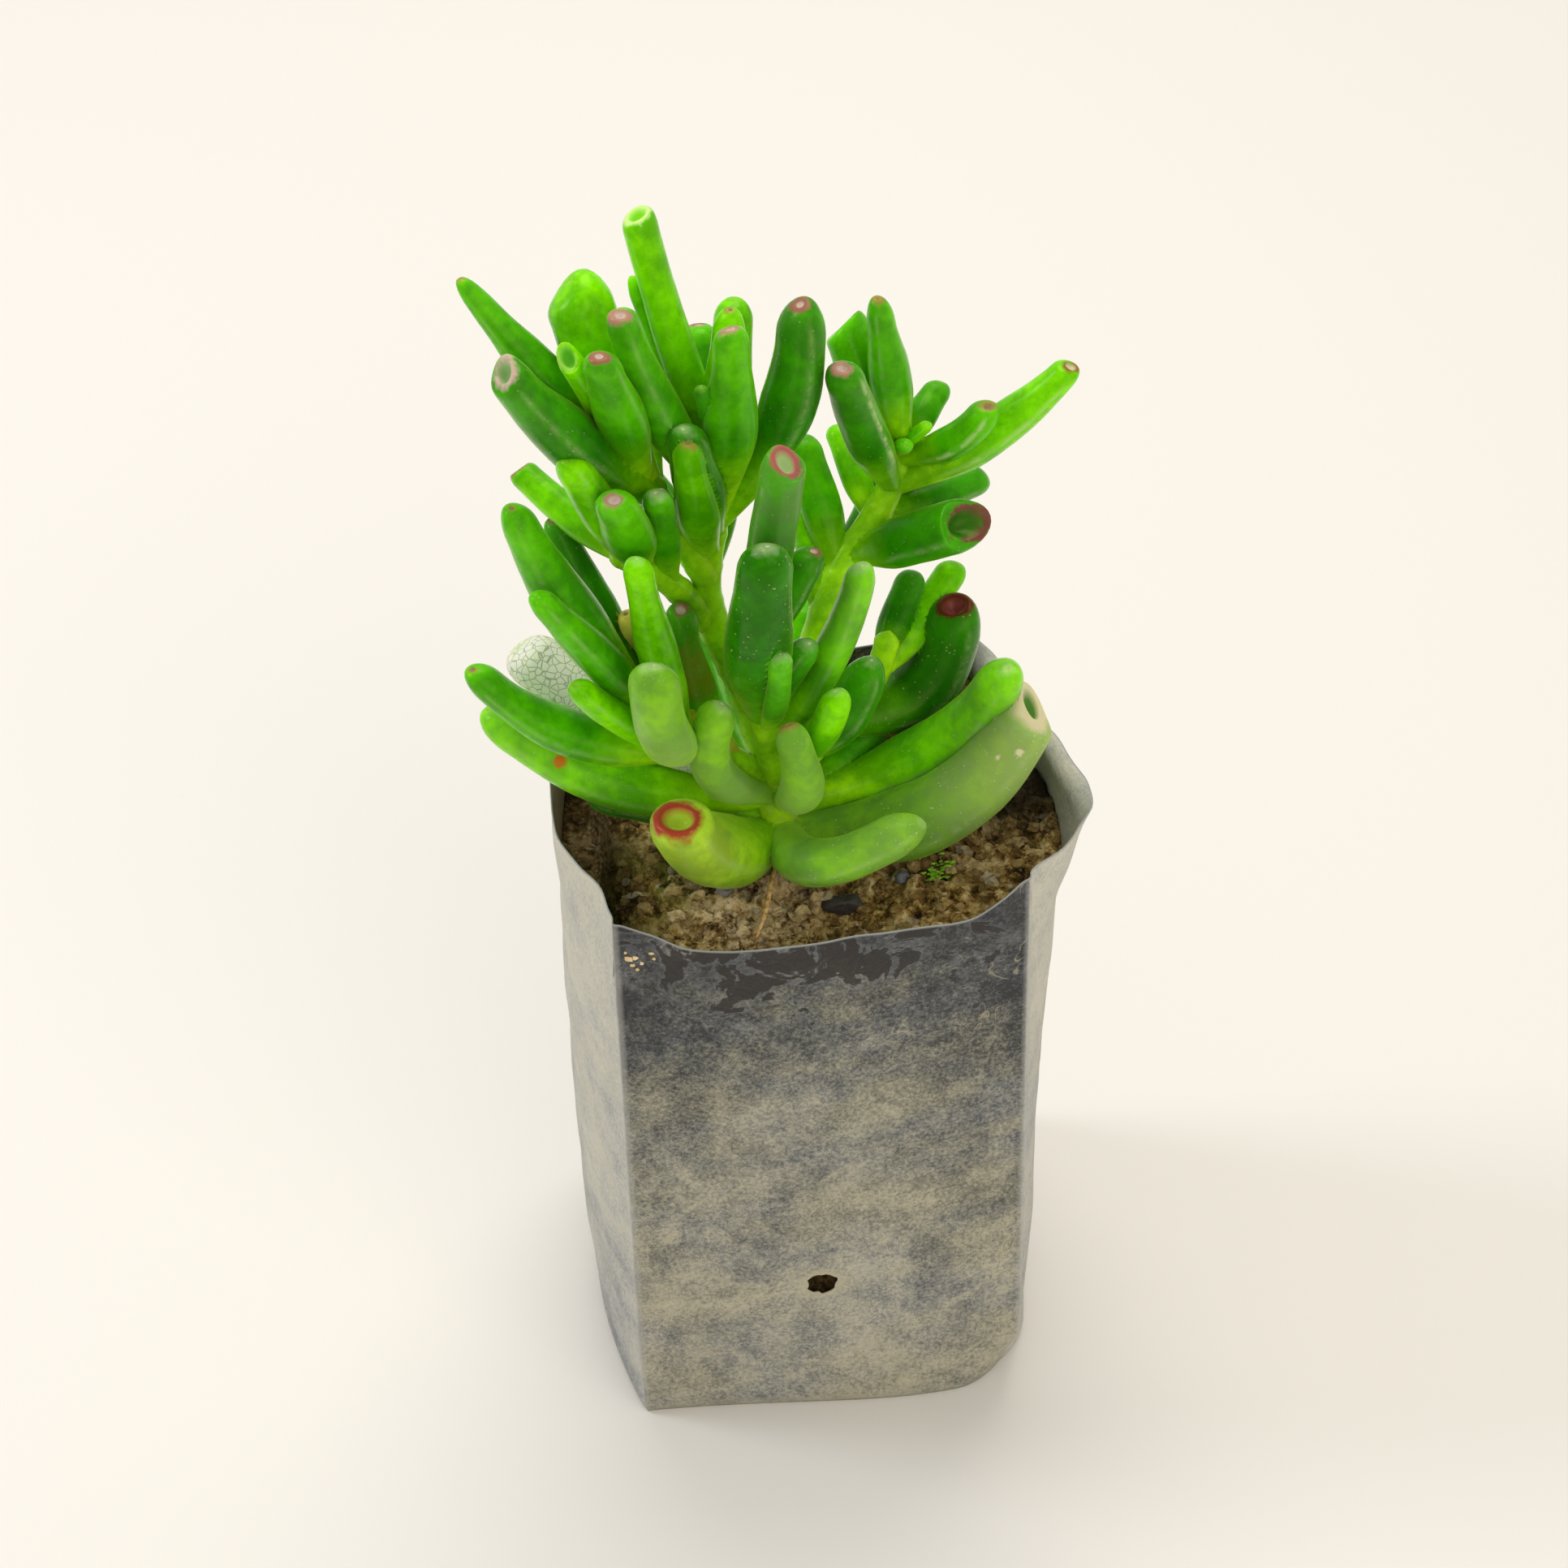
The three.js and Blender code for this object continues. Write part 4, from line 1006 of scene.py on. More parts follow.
shoots = [
    {
        "node": "trunk",
        "slot": "low_leaf",
        "skin": "bark",
        "path": [(-4, -5, 108), (-4, -8, 134), (-5, -8, 146), (-4, -5, 157)],
        "radii": (4.6, 4),
        "leaves": [
            dict(at=38, turn=358, rise=35, long=55, wide=11.5, neck=10.5, mouth=3, sag=13.5, sway=8,
                 skin="arched", tip="pale"),
            dict(at=33, turn=0, rise=27.5, long=56, wide=16, neck=14, mouth=10.5, cap=4, sag=10, sway=-5,
                 skin="dusted", tip="cork", face=(0.78, -0.34, 0.53), slant=0.75),
            dict(at=32, turn=327, rise=26, long=34, wide=10.5, neck=9.5, mouth=3, sway=-12, rootShare=0.85,
                 skin="low", tip="pale"),
            dict(at=32, turn=220, rise=39, long=36, wide=16.5, neck=14, mouth=10, cap=4, sag=6,
                 skin="blotched", tip="blot"),
            dict(at=42, turn=169, rise=18, long=59, wide=12.5, neck=10, mouth=4, sag=9,
                 skin="arched", tip="round"),
            dict(at=36, turn=163, rise=2, long=38, wide=11, mouth=4, sag=1, skin="deep", tip="round"),
            dict(at=41, turn=230, rise=64.5, long=41, wide=9, neck=7.5, mouth=3, sag=7, sway=-4,
                 skin="frosted", tip="pale"),
            dict(at=40, turn=272, rise=63.5, long=39, wide=8.8, neck=6.5, mouth=3, sag=5.5, sway=3,
                 skin="frosted", tip="brown"),
            dict(at=40, turn=75, rise=22, long=44, wide=10, mouth=4, sag=4, skin="green", tip="round"),
            dict(at=40, turn=100, rise=14, long=46, wide=10, mouth=5, sag=4, skin="deep", tip="dot"),
            dict(at=36, turn=40, rise=14, long=40, wide=9, mouth=4, sag=2, skin="green", tip="round"),
        ],
    },
    {
        "node": "shoot_top",
        "slot": "leaf",
        "skin": "stem",
        "path": [(-4, -3, 150), (-10, 1, 170), (-16, 6, 188), (-14, 9, 205), (-11, 10, 217)],
        "radii": (3.8, 2.6),
        "leaves": [
            dict(at=64, turn=197, rise=70, long=52, wide=10, neck=7, mouth=4, cap=4, sag=2,
                 skin="green", tip="pink"),
            dict(at=66, turn=138, rise=66, long=46, wide=5, neck=4, mouth=1.2, cap=5,
                 skin="lime", tip="round"),
            dict(at=68, turn=137, rise=72, long=57, wide=8, neck=7, mouth=6, cap=3, sag=1,
                 skin="lime", tip="open", face=(-0.6, -0.5, 0.2), slant=0.2),
            dict(at=64, turn=293, rise=81, long=45, wide=11, neck=7, mouth=3.5, cap=4.5, sag=2,
                 skin="green", tip="pink"),
            dict(at=66, turn=52, rise=82, long=39, wide=9, neck=6.5, mouth=2, cap=6, skin="lime", tip="brown"),
            dict(at=58, turn=15, rise=68, long=50, wide=13, neck=10.5, mouth=3, cap=7, full=0.68, sag=6,
                 rootShare=0.4, skin="deep", tip="dot"),
            dict(at=56, turn=239, rise=73, long=34, wide=10, neck=8, mouth=4, skin="deep", tip="pale"),
            dict(at=52, turn=250, rise=72, long=37, wide=8.5, neck=6, mouth=2.5, cap=5, sag=2,
                 skin="lime", tip="brown"),
            dict(at=68, turn=242, rise=73, long=30, wide=3.5, mouth=2, skin="deep", tip="round"),
            dict(at=60, turn=88, rise=35, long=38, wide=8, mouth=4, sag=2, skin="green", tip="dot"),
            dict(at=46, turn=75, rise=25, long=34, wide=8, mouth=4, sag=2, skin="deep", tip="round"),
            dict(at=52, turn=125, rise=24, long=34, wide=8, mouth=4, sag=2, skin="green", tip="round"),
            dict(at=66, turn=75, rise=52, long=36, wide=8, mouth=4, sag=1, skin="lime", tip="round"),
        ],
    },
    {
        "node": "shoot_far_left",
        "slot": "leaf",
        "skin": "stem",
        "path": [(-16, 6, 194), (-21, 6, 206), (-25, 6, 216), (-29, 5, 224)],
        "radii": (2.8, 2.4),
        "leaves": [
            dict(at=30, turn=159, rise=51, long=51, wide=9, neck=6, mouth=1.6, cap=10, sag=1,
                 skin="green", tip="brown"),
            dict(at=28, turn=127, rise=64, long=41, wide=13.5, neck=13, mouth=4, cap=6, full=0.75, rootShare=0.5,
                 skin="lime", tip="round", face=(-0.8, -0.3, 0.3), slant=0.5),
            dict(at=24, turn=188, rise=67, long=38, wide=5.6, neck=5.6, mouth=4.6, cap=2.5,
                 skin="lime", tip="greenCup", face=(-0.2, -1.0, 0.2), slant=0.9),
            dict(at=24, turn=200, rise=54, long=48, wide=12.5, neck=9, mouth=6.5, cap=3.5, sag=2,
                 skin="deep", tip="cup", face=(-1.0, -0.5, 0.1), slant=0.7),
            dict(at=30, turn=234, rise=72, long=37, wide=10, neck=7.2, mouth=3, cap=5, skin="green", tip="dot"),
            dict(at=24, turn=95, rise=38, long=36, wide=8, mouth=4, sag=2, skin="green", tip="round"),
        ],
    },
    {
        "node": "shoot_left",
        "slot": "young_leaf",
        "skin": "stem",
        "path": [(-16, 5, 184), (-23, 3, 196), (-29, 0, 204), (-34, -3, 210)],
        "radii": (2.8, 2.4),
        "leaves": [
            dict(at=26, turn=133, rise=15, long=30, wide=6.5, neck=6, mouth=5, cap=2, sag=1,
                 skin="lime", tip="dot"),
            dict(at=20, turn=143, rise=21, long=20, wide=4, mouth=3, skin="green", tip="round"),
            dict(at=28, turn=203, rise=69, long=31, wide=9, neck=8.2, mouth=3, skin="lime", tip="round"),
            dict(at=24, turn=248, rise=63, long=30, wide=9.6, neck=8.4, mouth=4.5, cap=4,
                 skin="green", tip="pink"),
            dict(at=14, turn=252, rise=74, long=30, wide=6.5, mouth=4, skin="green", tip="pale"),
        ],
    },
    {
        "node": "shoot_low_left",
        "slot": "leaf",
        "skin": "stem",
        "path": [(-5, -6, 150), (-14, -7, 158), (-24, -9, 168), (-31, -9, 178)],
        "radii": (3, 2.6),
        "leaves": [
            dict(at=20, turn=174, rise=27, long=48, wide=10, neck=7.5, mouth=3.5, cap=5, sag=7,
                 skin="green", tip="brown"),
            dict(at=36, turn=177, rise=66, long=56, wide=12, neck=8, mouth=3, cap=5, sag=2,
                 skin="green", tip="brown"),
            dict(at=30, turn=201, rise=60, long=50, wide=9, neck=6.5, mouth=3, skin="green", tip="round"),
            dict(at=22, turn=246, rise=62, long=42, wide=10.5, neck=9.8, mouth=3, sag=6,
                 skin="frosted", tip="pale"),
            dict(at=32, turn=130, rise=53, long=44, wide=8, neck=6, mouth=2.5, sag=1,
                 skin="deep", tip="dot", line=1),
            dict(at=24, turn=221, rise=78.5, long=53.5, wide=8.5, neck=6, mouth=2.5, sag=1,
                 skin="lime", tip="pale"),
            dict(at=18, turn=206, rise=48, long=42, wide=7, mouth=3.5, sag=2, skin="lime", tip="round"),
            dict(at=14, turn=142, rise=76.5, long=35.5, wide=10.5, neck=7.5, mouth=4, sag=3,
                 skin="rusty", tip="dot"),
            dict(at=10, turn=162, rise=60, long=41.5, wide=8.5, neck=6.5, mouth=3,
                 skin="yellowing", tip="brown"),
            dict(at=8, turn=149, rise=17, long=51, wide=13, neck=12, mouth=9, cap=4, sag=3,
                 skin="corky", tip="pale"),
        ],
    },
    {
        "node": "shoot_front",
        "slot": "leaf",
        "skin": "stem",
        "path": [(-4, -6, 150), (-6, -9, 162), (-8, -10, 178), (-8, -9, 196)],
        "radii": (3.2, 2.4),
        "leaves": [
            dict(at=44, turn=300, rise=77.5, long=48, wide=9.2, neck=8.8, mouth=7.5, cap=2.5,
                 skin="bloomy", tip="ring", face=(0.9, -0.6, 0.1), slant=0.9),
            dict(at=24, turn=270.5, rise=73, long=57, wide=12.8, neck=10.2, mouth=3.5, sag=3, sway=-1.5,
                 skin="dark", tip="pale"),
            dict(at=40, turn=22, rise=55, long=22, wide=8, mouth=3, skin="deep", tip="dot"),
            dict(at=14, turn=351, rise=68, long=49, wide=8.5, neck=6.5, mouth=2.5, sag=2.5,
                 skin="pale", tip="pale"),
            dict(at=10, turn=19, rise=37, long=27, wide=11, neck=9, mouth=3, sag=5, skin="deep", tip="pale"),
            dict(at=20, turn=275, rise=62, long=37, wide=5, mouth=2, sag=3, skin="green", tip="pale"),
            dict(at=24, turn=333, rise=63, long=22, wide=7, mouth=3, skin="deep", tip="pale"),
            dict(at=12, turn=315, rise=56, long=29, wide=7.5, mouth=3, sag=4, skin="lime", tip="pale"),
        ],
    },
    {
        "node": "shoot_right",
        "slot": "leaf",
        "skin": "stem",
        "path": [(-3, -4, 150), (2, 3, 166), (6, 8, 176), (11, 14, 186), (18, 19, 194), (22, 22, 200), (24, 24, 207)],
        "radii": (4.2, 2.5),
        "leaves": [
            dict(at=66, turn=124, rise=61, long=30, wide=10.5, neck=10, mouth=7, cap=3,
                 skin="green", tip="edge", face=(-0.7, 0.5, 0.4), slant=0.5),
            dict(at=73, turn=157, rise=83, long=35, wide=9.5, neck=6, mouth=2, cap=6,
                 skin="green", tip="brown"),
            dict(at=62, turn=231, rise=66.5, long=43.5, wide=9.5, neck=8, mouth=4, cap=4, sag=1,
                 skin="deep", tip="pink", line=1),
            dict(at=77, turn=324, rise=52, long=10, wide=3.4, mouth=1.6, skin="lime", tip="round"),
            dict(at=75, turn=269, rise=40, long=10, wide=4.2, mouth=2, skin="green", tip="round"),
            dict(at=72, turn=47, rise=24, long=16, wide=6.5, mouth=3, skin="green", tip="round"),
            dict(at=68, turn=346, rise=38, long=22, wide=7.5, neck=7, mouth=5, sag=3,
                 skin="green", tip="brown", line=1),
            dict(at=62, turn=4, rise=33, long=42, wide=9.5, neck=6.5, mouth=4, cap=2.5, sag=3,
                 skin="lime", tip="smallCup", line=0.8),
            dict(at=54, turn=29, rise=-5, long=28, wide=8, mouth=4, skin="deep", tip="round"),
            dict(at=46, turn=334, rise=30.5, long=27.5, wide=11, neck=11.5, mouth=10, cap=3, rootShare=0.42,
                 skin="deep", tip="deepCup", face=(-0.1, -0.7, 0.7), slant=0.8),
            dict(at=42, turn=105, rise=46, long=28, wide=8, mouth=4, skin="green", tip="round"),
            dict(at=54, turn=103, rise=24, long=22, wide=6, mouth=3, skin="lime", tip="round"),
            dict(at=32, turn=94, rise=44, long=24, wide=7, mouth=4, skin="lime", tip="round"),
            dict(at=64, turn=75, rise=-18, long=26, wide=8, mouth=4, sag=2, skin="green", tip="round"),
            dict(at=36, turn=60, rise=20, long=32, wide=8, mouth=4, sag=2, skin="deep", tip="round"),
        ],
    },
    {
        "node": "shoot_low_right",
        "slot": "leaf",
        "skin": "stem",
        "path": [(-2, -3, 149), (9, 5, 156), (17, 9, 163), (20, 11, 172)],
        "radii": (3, 2.4),
        "leaves": [
            dict(at=26, turn=43, rise=24, long=29, wide=7.5, neck=6.5, mouth=3, sag=1,
                 skin="lime", tip="round"),
            dict(at=28, turn=59, rise=32, long=21, wide=7, mouth=3, skin="deep", tip="round"),
            dict(at=14, turn=23, rise=33, long=33, wide=14, neck=12.5, mouth=6.5, cap=4.5, sag=11,
                 skin="shaded", tip="crown"),
        ],
    },
]


def smoothPath(points, spacing):
    # centripetal spline through the points, sampled about every `spacing` millimetres
    knots = [Vector(point) for point in points]
    knots = [2 * knots[0] - knots[1]] + knots + [2 * knots[-1] - knots[-2]]
    samples = []
    for a, b, c, d in zip(knots, knots[1:], knots[2:], knots[3:]):
        first, middle, last = ((q - p).length ** 0.5 for p, q in ((a, b), (b, c), (c, d)))
        slopeIn = (b - a) / first - (c - a) / (first + middle) + (c - b) / middle
        slopeOut = (c - b) / middle - (d - b) / (middle + last) + (d - c) / last
        slopeIn, slopeOut = slopeIn * middle, slopeOut * middle
        count = max(2, round((c - b).length / spacing))
        for step in range(count):
            t = step / count
            samples.append(
                b + slopeIn * t
                + (3 * (c - b) - 2 * slopeIn - slopeOut) * t * t
                + (2 * (b - c) + slopeIn + slopeOut) * t ** 3
            )
    samples.append(knots[-2])
    return samples


def pointUp(samples, distance):
    for here, there in zip(samples, samples[1:]):
        step = (there - here).length
        if distance <= step:
            return here.lerp(there, distance / step)
        distance -= step
    return samples[-1]


def plantLayers(bm):
    shares = ("angle", "margin", "rimDistance", "rimReach", "rimStrength", "bloom", "speck", "rust", "cork", "made")
    layers = {name: bm.verts.layers.float.new(name) for name in shares}
    for name in ("skin", "rimColour", "dishColour"):
        layers[name] = bm.verts.layers.float_color.new(name)
    return layers


def blendColours(colours, share):
    # colours stand at 0, a half and 1
    scaled = min(1.0, max(0.0, share)) * (len(colours) - 1)
    index = min(int(scaled), len(colours) - 2)
    first, second = colours[index], colours[index + 1]
    return [a + (b - a) * (scaled - index) for a, b in zip(first, second)]


def paintVert(vert, layers, look, share, rimDistance):
    vert[layers["skin"]] = blendColours(look["colours"], share)
    vert[layers["rimDistance"]] = rimDistance
    low, high = look["blooms"]
    vert[layers["bloom"]] = low + (high - low) * smoothstep(share, *plant["bloomRun"])
    for name in ("speck", "rust", "cork", "rimReach", "rimStrength", "rimColour", "dishColour"):
        vert[layers[name]] = look[name]
    vert[layers["made"]] = 1.0


def lookOf(skinName, tipName):
    skin, tip = skins[skinName], tips[tipName]
    return {
        "colours": [linear(colour) for colour in skin["colours"]],
        "blooms": skin["bloom"], "speck": skin["speck"],
        "rust": skin.get("rust", 0), "cork": skin.get("cork", 0),
        "rimColour": linear(tip["rim"]), "dishColour": linear(tip["dish"]),
        "rimReach": tip["reach"], "rimStrength": tip["strength"], "mouth": tip["mouth"],
    }


def leafProfile(leaf, filled):
    # rings from root to dish: share of the length, radius, how far it is sunk, slant, rim distance
    half, mouth = leaf["wide"] / 2, leaf["mouth"] / 2 * filled
    neck = leaf.get("neck", leaf["wide"] * plant["neckShare"]) / 2
    rootShare = leaf.get("rootShare", plant["rootShare"])
    cap = max(leaf.get("cap", half), (neck - mouth) * plant["roundness"])
    capStart = 1 - min(plant["longestCap"], cap / leaf["long"])

    def body(t):
        swelling = rootShare + (1 - rootShare) * smoothstep(t, 0, leaf.get("full", plant["fullAt"]))
        return half * swelling + (neck - half) * smoothstep(t, plant["neckAt"], capStart)

    rings = []
    for step in range(plant["bodyRings"]):
        t = capStart * step / plant["bodyRings"]
        rings.append((t, body(t), 0, 0, (1 - t) * leaf["long"]))
    for step in range(plant["capRings"] + 1):
        angle = math.pi / 2 * step / plant["capRings"]
        t = capStart + (1 - capStart) * math.sin(angle)
        radius = mouth + (body(capStart) - mouth) * math.cos(angle)
        fromRim = (1 - t) * leaf["long"] + max(0.0, radius - mouth)
        rings.append((t, radius, 0, math.sin(angle) ** 2, fromRim))
    # the lip rolls over into the dish
    for step in range(1, plant["dishRings"]):
        inward = step / plant["dishRings"]
        sunk = plant["dishDepth"] * mouth * smoothstep(inward, 0, plant["dishFlatFrom"]) ** plant["dishCurve"]
        rings.append((1, mouth * (1 - inward), sunk, 1, -inward))
    return rings


def growLeaf(bm, layers, root, leaf, salt):
    turn, rise = math.radians(leaf["turn"]), math.radians(leaf["rise"])
    line = Vector((math.cos(turn) * math.cos(rise), math.sin(turn) * math.cos(rise), math.sin(rise)))
    left = Vector((-math.sin(turn), math.cos(turn), 0))
    over = line.cross(left)
    # sway and sag are how far the middle of the finger stands out of its straight line
    bend = left * leaf.get("sway", 0) - over * leaf.get("sag", 0)
    look = lookOf(leaf["skin"], leaf["tip"])
    shift = Vector((salt * 7.3, salt * 3.1, salt * 1.7))
    ring = startRing(bm, layers["angle"], evenAngles(plant["leafSides"]))
    # the mouth is cut at a slant, and looks toward `face`
    mouthFace = Vector(leaf["face"]) if "face" in leaf else over
    for count, (t, radius, sunk, slanted, rimDistance) in enumerate(leafProfile(leaf, look["mouth"])):
        if count:
            ring = nextRing(bm, ring)
        heading = (line * leaf["long"] + bend * 4 * (1 - 2 * t)).normalized()
        side = over.cross(heading).normalized()
        across = heading.cross(side)
        centre = root + line * leaf["long"] * t + bend * 4 * t * (1 - t) - heading * sunk
        toward = (mouthFace - heading * mouthFace.dot(heading)).normalized()
        slant = toward * leaf.get("slant", plant["mouthSlant"]) * slanted
        for vert in ring:
            angle = vert[layers["angle"]]
            spoke = side * math.cos(angle) + across * math.sin(angle)
            flat = side * math.cos(angle) + across * math.sin(angle) * plant["thickness"]
            spot = centre + flat * radius - heading * flat.dot(slant) * radius
            swell = plant["swell"] * noise.noise(spot / plant["swellSize"] + shift)
            dimple = plant["dimple"] * noise.noise(spot / plant["dimpleSize"] + shift)
            margin = abs(math.cos(angle)) ** plant["marginNarrow"] * smoothstep(t, *plant["marginStarts"])
            margin *= 1 - smoothstep(t, *plant["marginEnds"])
            scale = min(1.0, radius / plant["fullSwellRadius"])
            vert.co = (spot + spoke * ((swell + dimple) * scale + plant["marginRidge"] * margin)) * mm
            paintVert(vert, layers, look, t * plant["colourRun"], rimDistance)
            # the margin attribute holds the strength of the painted highlight line, set for each leaf by line
            vert[layers["margin"]] = margin * leaf.get("line", plant["margin"])
    tipSpot = sum((vert.co for vert in ring), Vector()) / len(ring)
    closeRing(bm, ring, tipSpot)


def fillRoots(bm):
    openEdges = [edge for edge in bm.edges if edge.is_boundary]
    bmesh.ops.holes_fill(bm, edges=openEdges, sides=0)
    faceOut(bm)


def growStem(bm, layers, shoot, samples):
    look = lookOf(shoot["skin"], "none")
    ring = startRing(bm, layers["angle"], evenAngles(plant["stemSides"]))
    footRadius, headRadius = shoot["radii"]
    total = sum((b - a).length for a, b in zip(samples, samples[1:]))
    walked = 0
    for count, spot in enumerate(samples):
        if count:
            ring = nextRing(bm, ring)
            walked += (spot - samples[count - 1]).length
        before, after = samples[max(0, count - 1)], samples[min(len(samples) - 1, count + 1)]
        heading = (after - before).normalized()
        side = (Vector((1, 0, 0)) - heading * heading.x).normalized()
        across = heading.cross(side)
        share = walked / total
        radius = footRadius + (headRadius - footRadius) * share
        joint = math.exp(-((walked % plant["scarPitch"] - plant["scarPitch"] / 2) / plant["scarWidth"]) ** 2)
        radius *= 1 + plant["scarHeight"] * joint
        radius *= math.sqrt(max(plant["endArea"], 1 - smoothstep(share, plant["taperFrom"], 1.0)))
        for vert in ring:
            angle = vert[layers["angle"]]
            spoke = side * math.cos(angle) + across * math.sin(angle)
            bumpy = 1 + plant["stemBump"] * noise.noise((spot + spoke * radius) / plant["stemBumpSize"])
            vert.co = (spot + spoke * radius * bumpy) * mm
            paintVert(vert, layers, look, share, plant["farFromRim"])
    closeRing(bm, ring, samples[-1] * mm)


def healSeams(mesh):
    # where two skins meet, the union's new points take the mean look of their neighbours
    bm = bmesh.new()
    bm.from_mesh(mesh)
    layers = bm.verts.layers
    made = layers.float["made"]
    floats = [layers.float[name] for name in layers.float.keys()]
    colours = [layers.float_color[name] for name in layers.float_color.keys()]
    waiting = [vert for vert in bm.verts if vert[made] < 0.5]
    for _ in range(plant["healPasses"]):
        healed = []
        for vert in waiting:
            near = [edge.other_vert(vert) for edge in vert.link_edges]
            near = [other for other in near if other[made] > 0.5]
            if not near:
                continue
            values = [sum(other[layer] for other in near) / len(near) for layer in floats]
            mixed = [[sum(other[layer][k] for other in near) / len(near) for k in range(4)] for layer in colours]
            healed.append((vert, values, mixed))
        for vert, values, mixed in healed:
            for layer, value in zip(floats, values):
                vert[layer] = value
            for layer, value in zip(colours, mixed):
                vert[layer] = value
            vert[made] = 1.0
        waiting = [vert for vert in waiting if vert[made] < 0.5]
    smoothFaces(bm)
    for edge in bm.edges:
        edge.smooth = edge.calc_face_angle(0) < math.radians(plant["seamAngle"])
    bm.to_mesh(mesh)
    bm.free()


def buildShoot(shoot, material):
    samples = smoothPath(shoot["path"], plant["stemStep"])
    parts = bpy.data.collections.new(shoot["node"])
    bpy.context.scene.collection.children.link(parts)
    stemMesh = bmesh.new()
    layers = plantLayers(stemMesh)
    growStem(stemMesh, layers, shoot, samples)
    fillRoots(stemMesh)
    piece = finishPiece(stemMesh, pieceName("skin", shoot["node"]), material, [shoot["node"]])
    for count, leaf in enumerate(shoot["leaves"]):
        leafMesh = bmesh.new()
        layers = plantLayers(leafMesh)
        growLeaf(leafMesh, layers, pointUp(samples, leaf["at"]), leaf, count + len(shoot["node"]))
        fillRoots(leafMesh)
        mesh = bpy.data.meshes.new("leaf")
        leafMesh.to_mesh(mesh)
        leafMesh.free()
        parts.objects.link(bpy.data.objects.new("leaf", mesh))
    join = piece.modifiers.new("join", "BOOLEAN")
    join.operation = "UNION"
    join.operand_type = "COLLECTION"
    join.collection = parts
    join.solver = "MANIFOLD"
    applyModifiers(piece)
    for part in list(parts.objects):
        bpy.data.objects.remove(part)
    bpy.data.collections.remove(parts)
    healSeams(piece.data)
    return piece


# Scars on the leaves: place and radius in millimetres, colour.
leafScars = [
    ((34.7, -15.2, 161.6), 1.1, "#e4dcb0"),
    ((37.2, -16.8, 161.2), 0.9, "#e4dcb0"),
    ((41.4, -17.1, 162.0), 1.1, "#e8e0b8"),
    ((-46.8, -3.7, 159.2), 1.8, "#d8581c"),
]


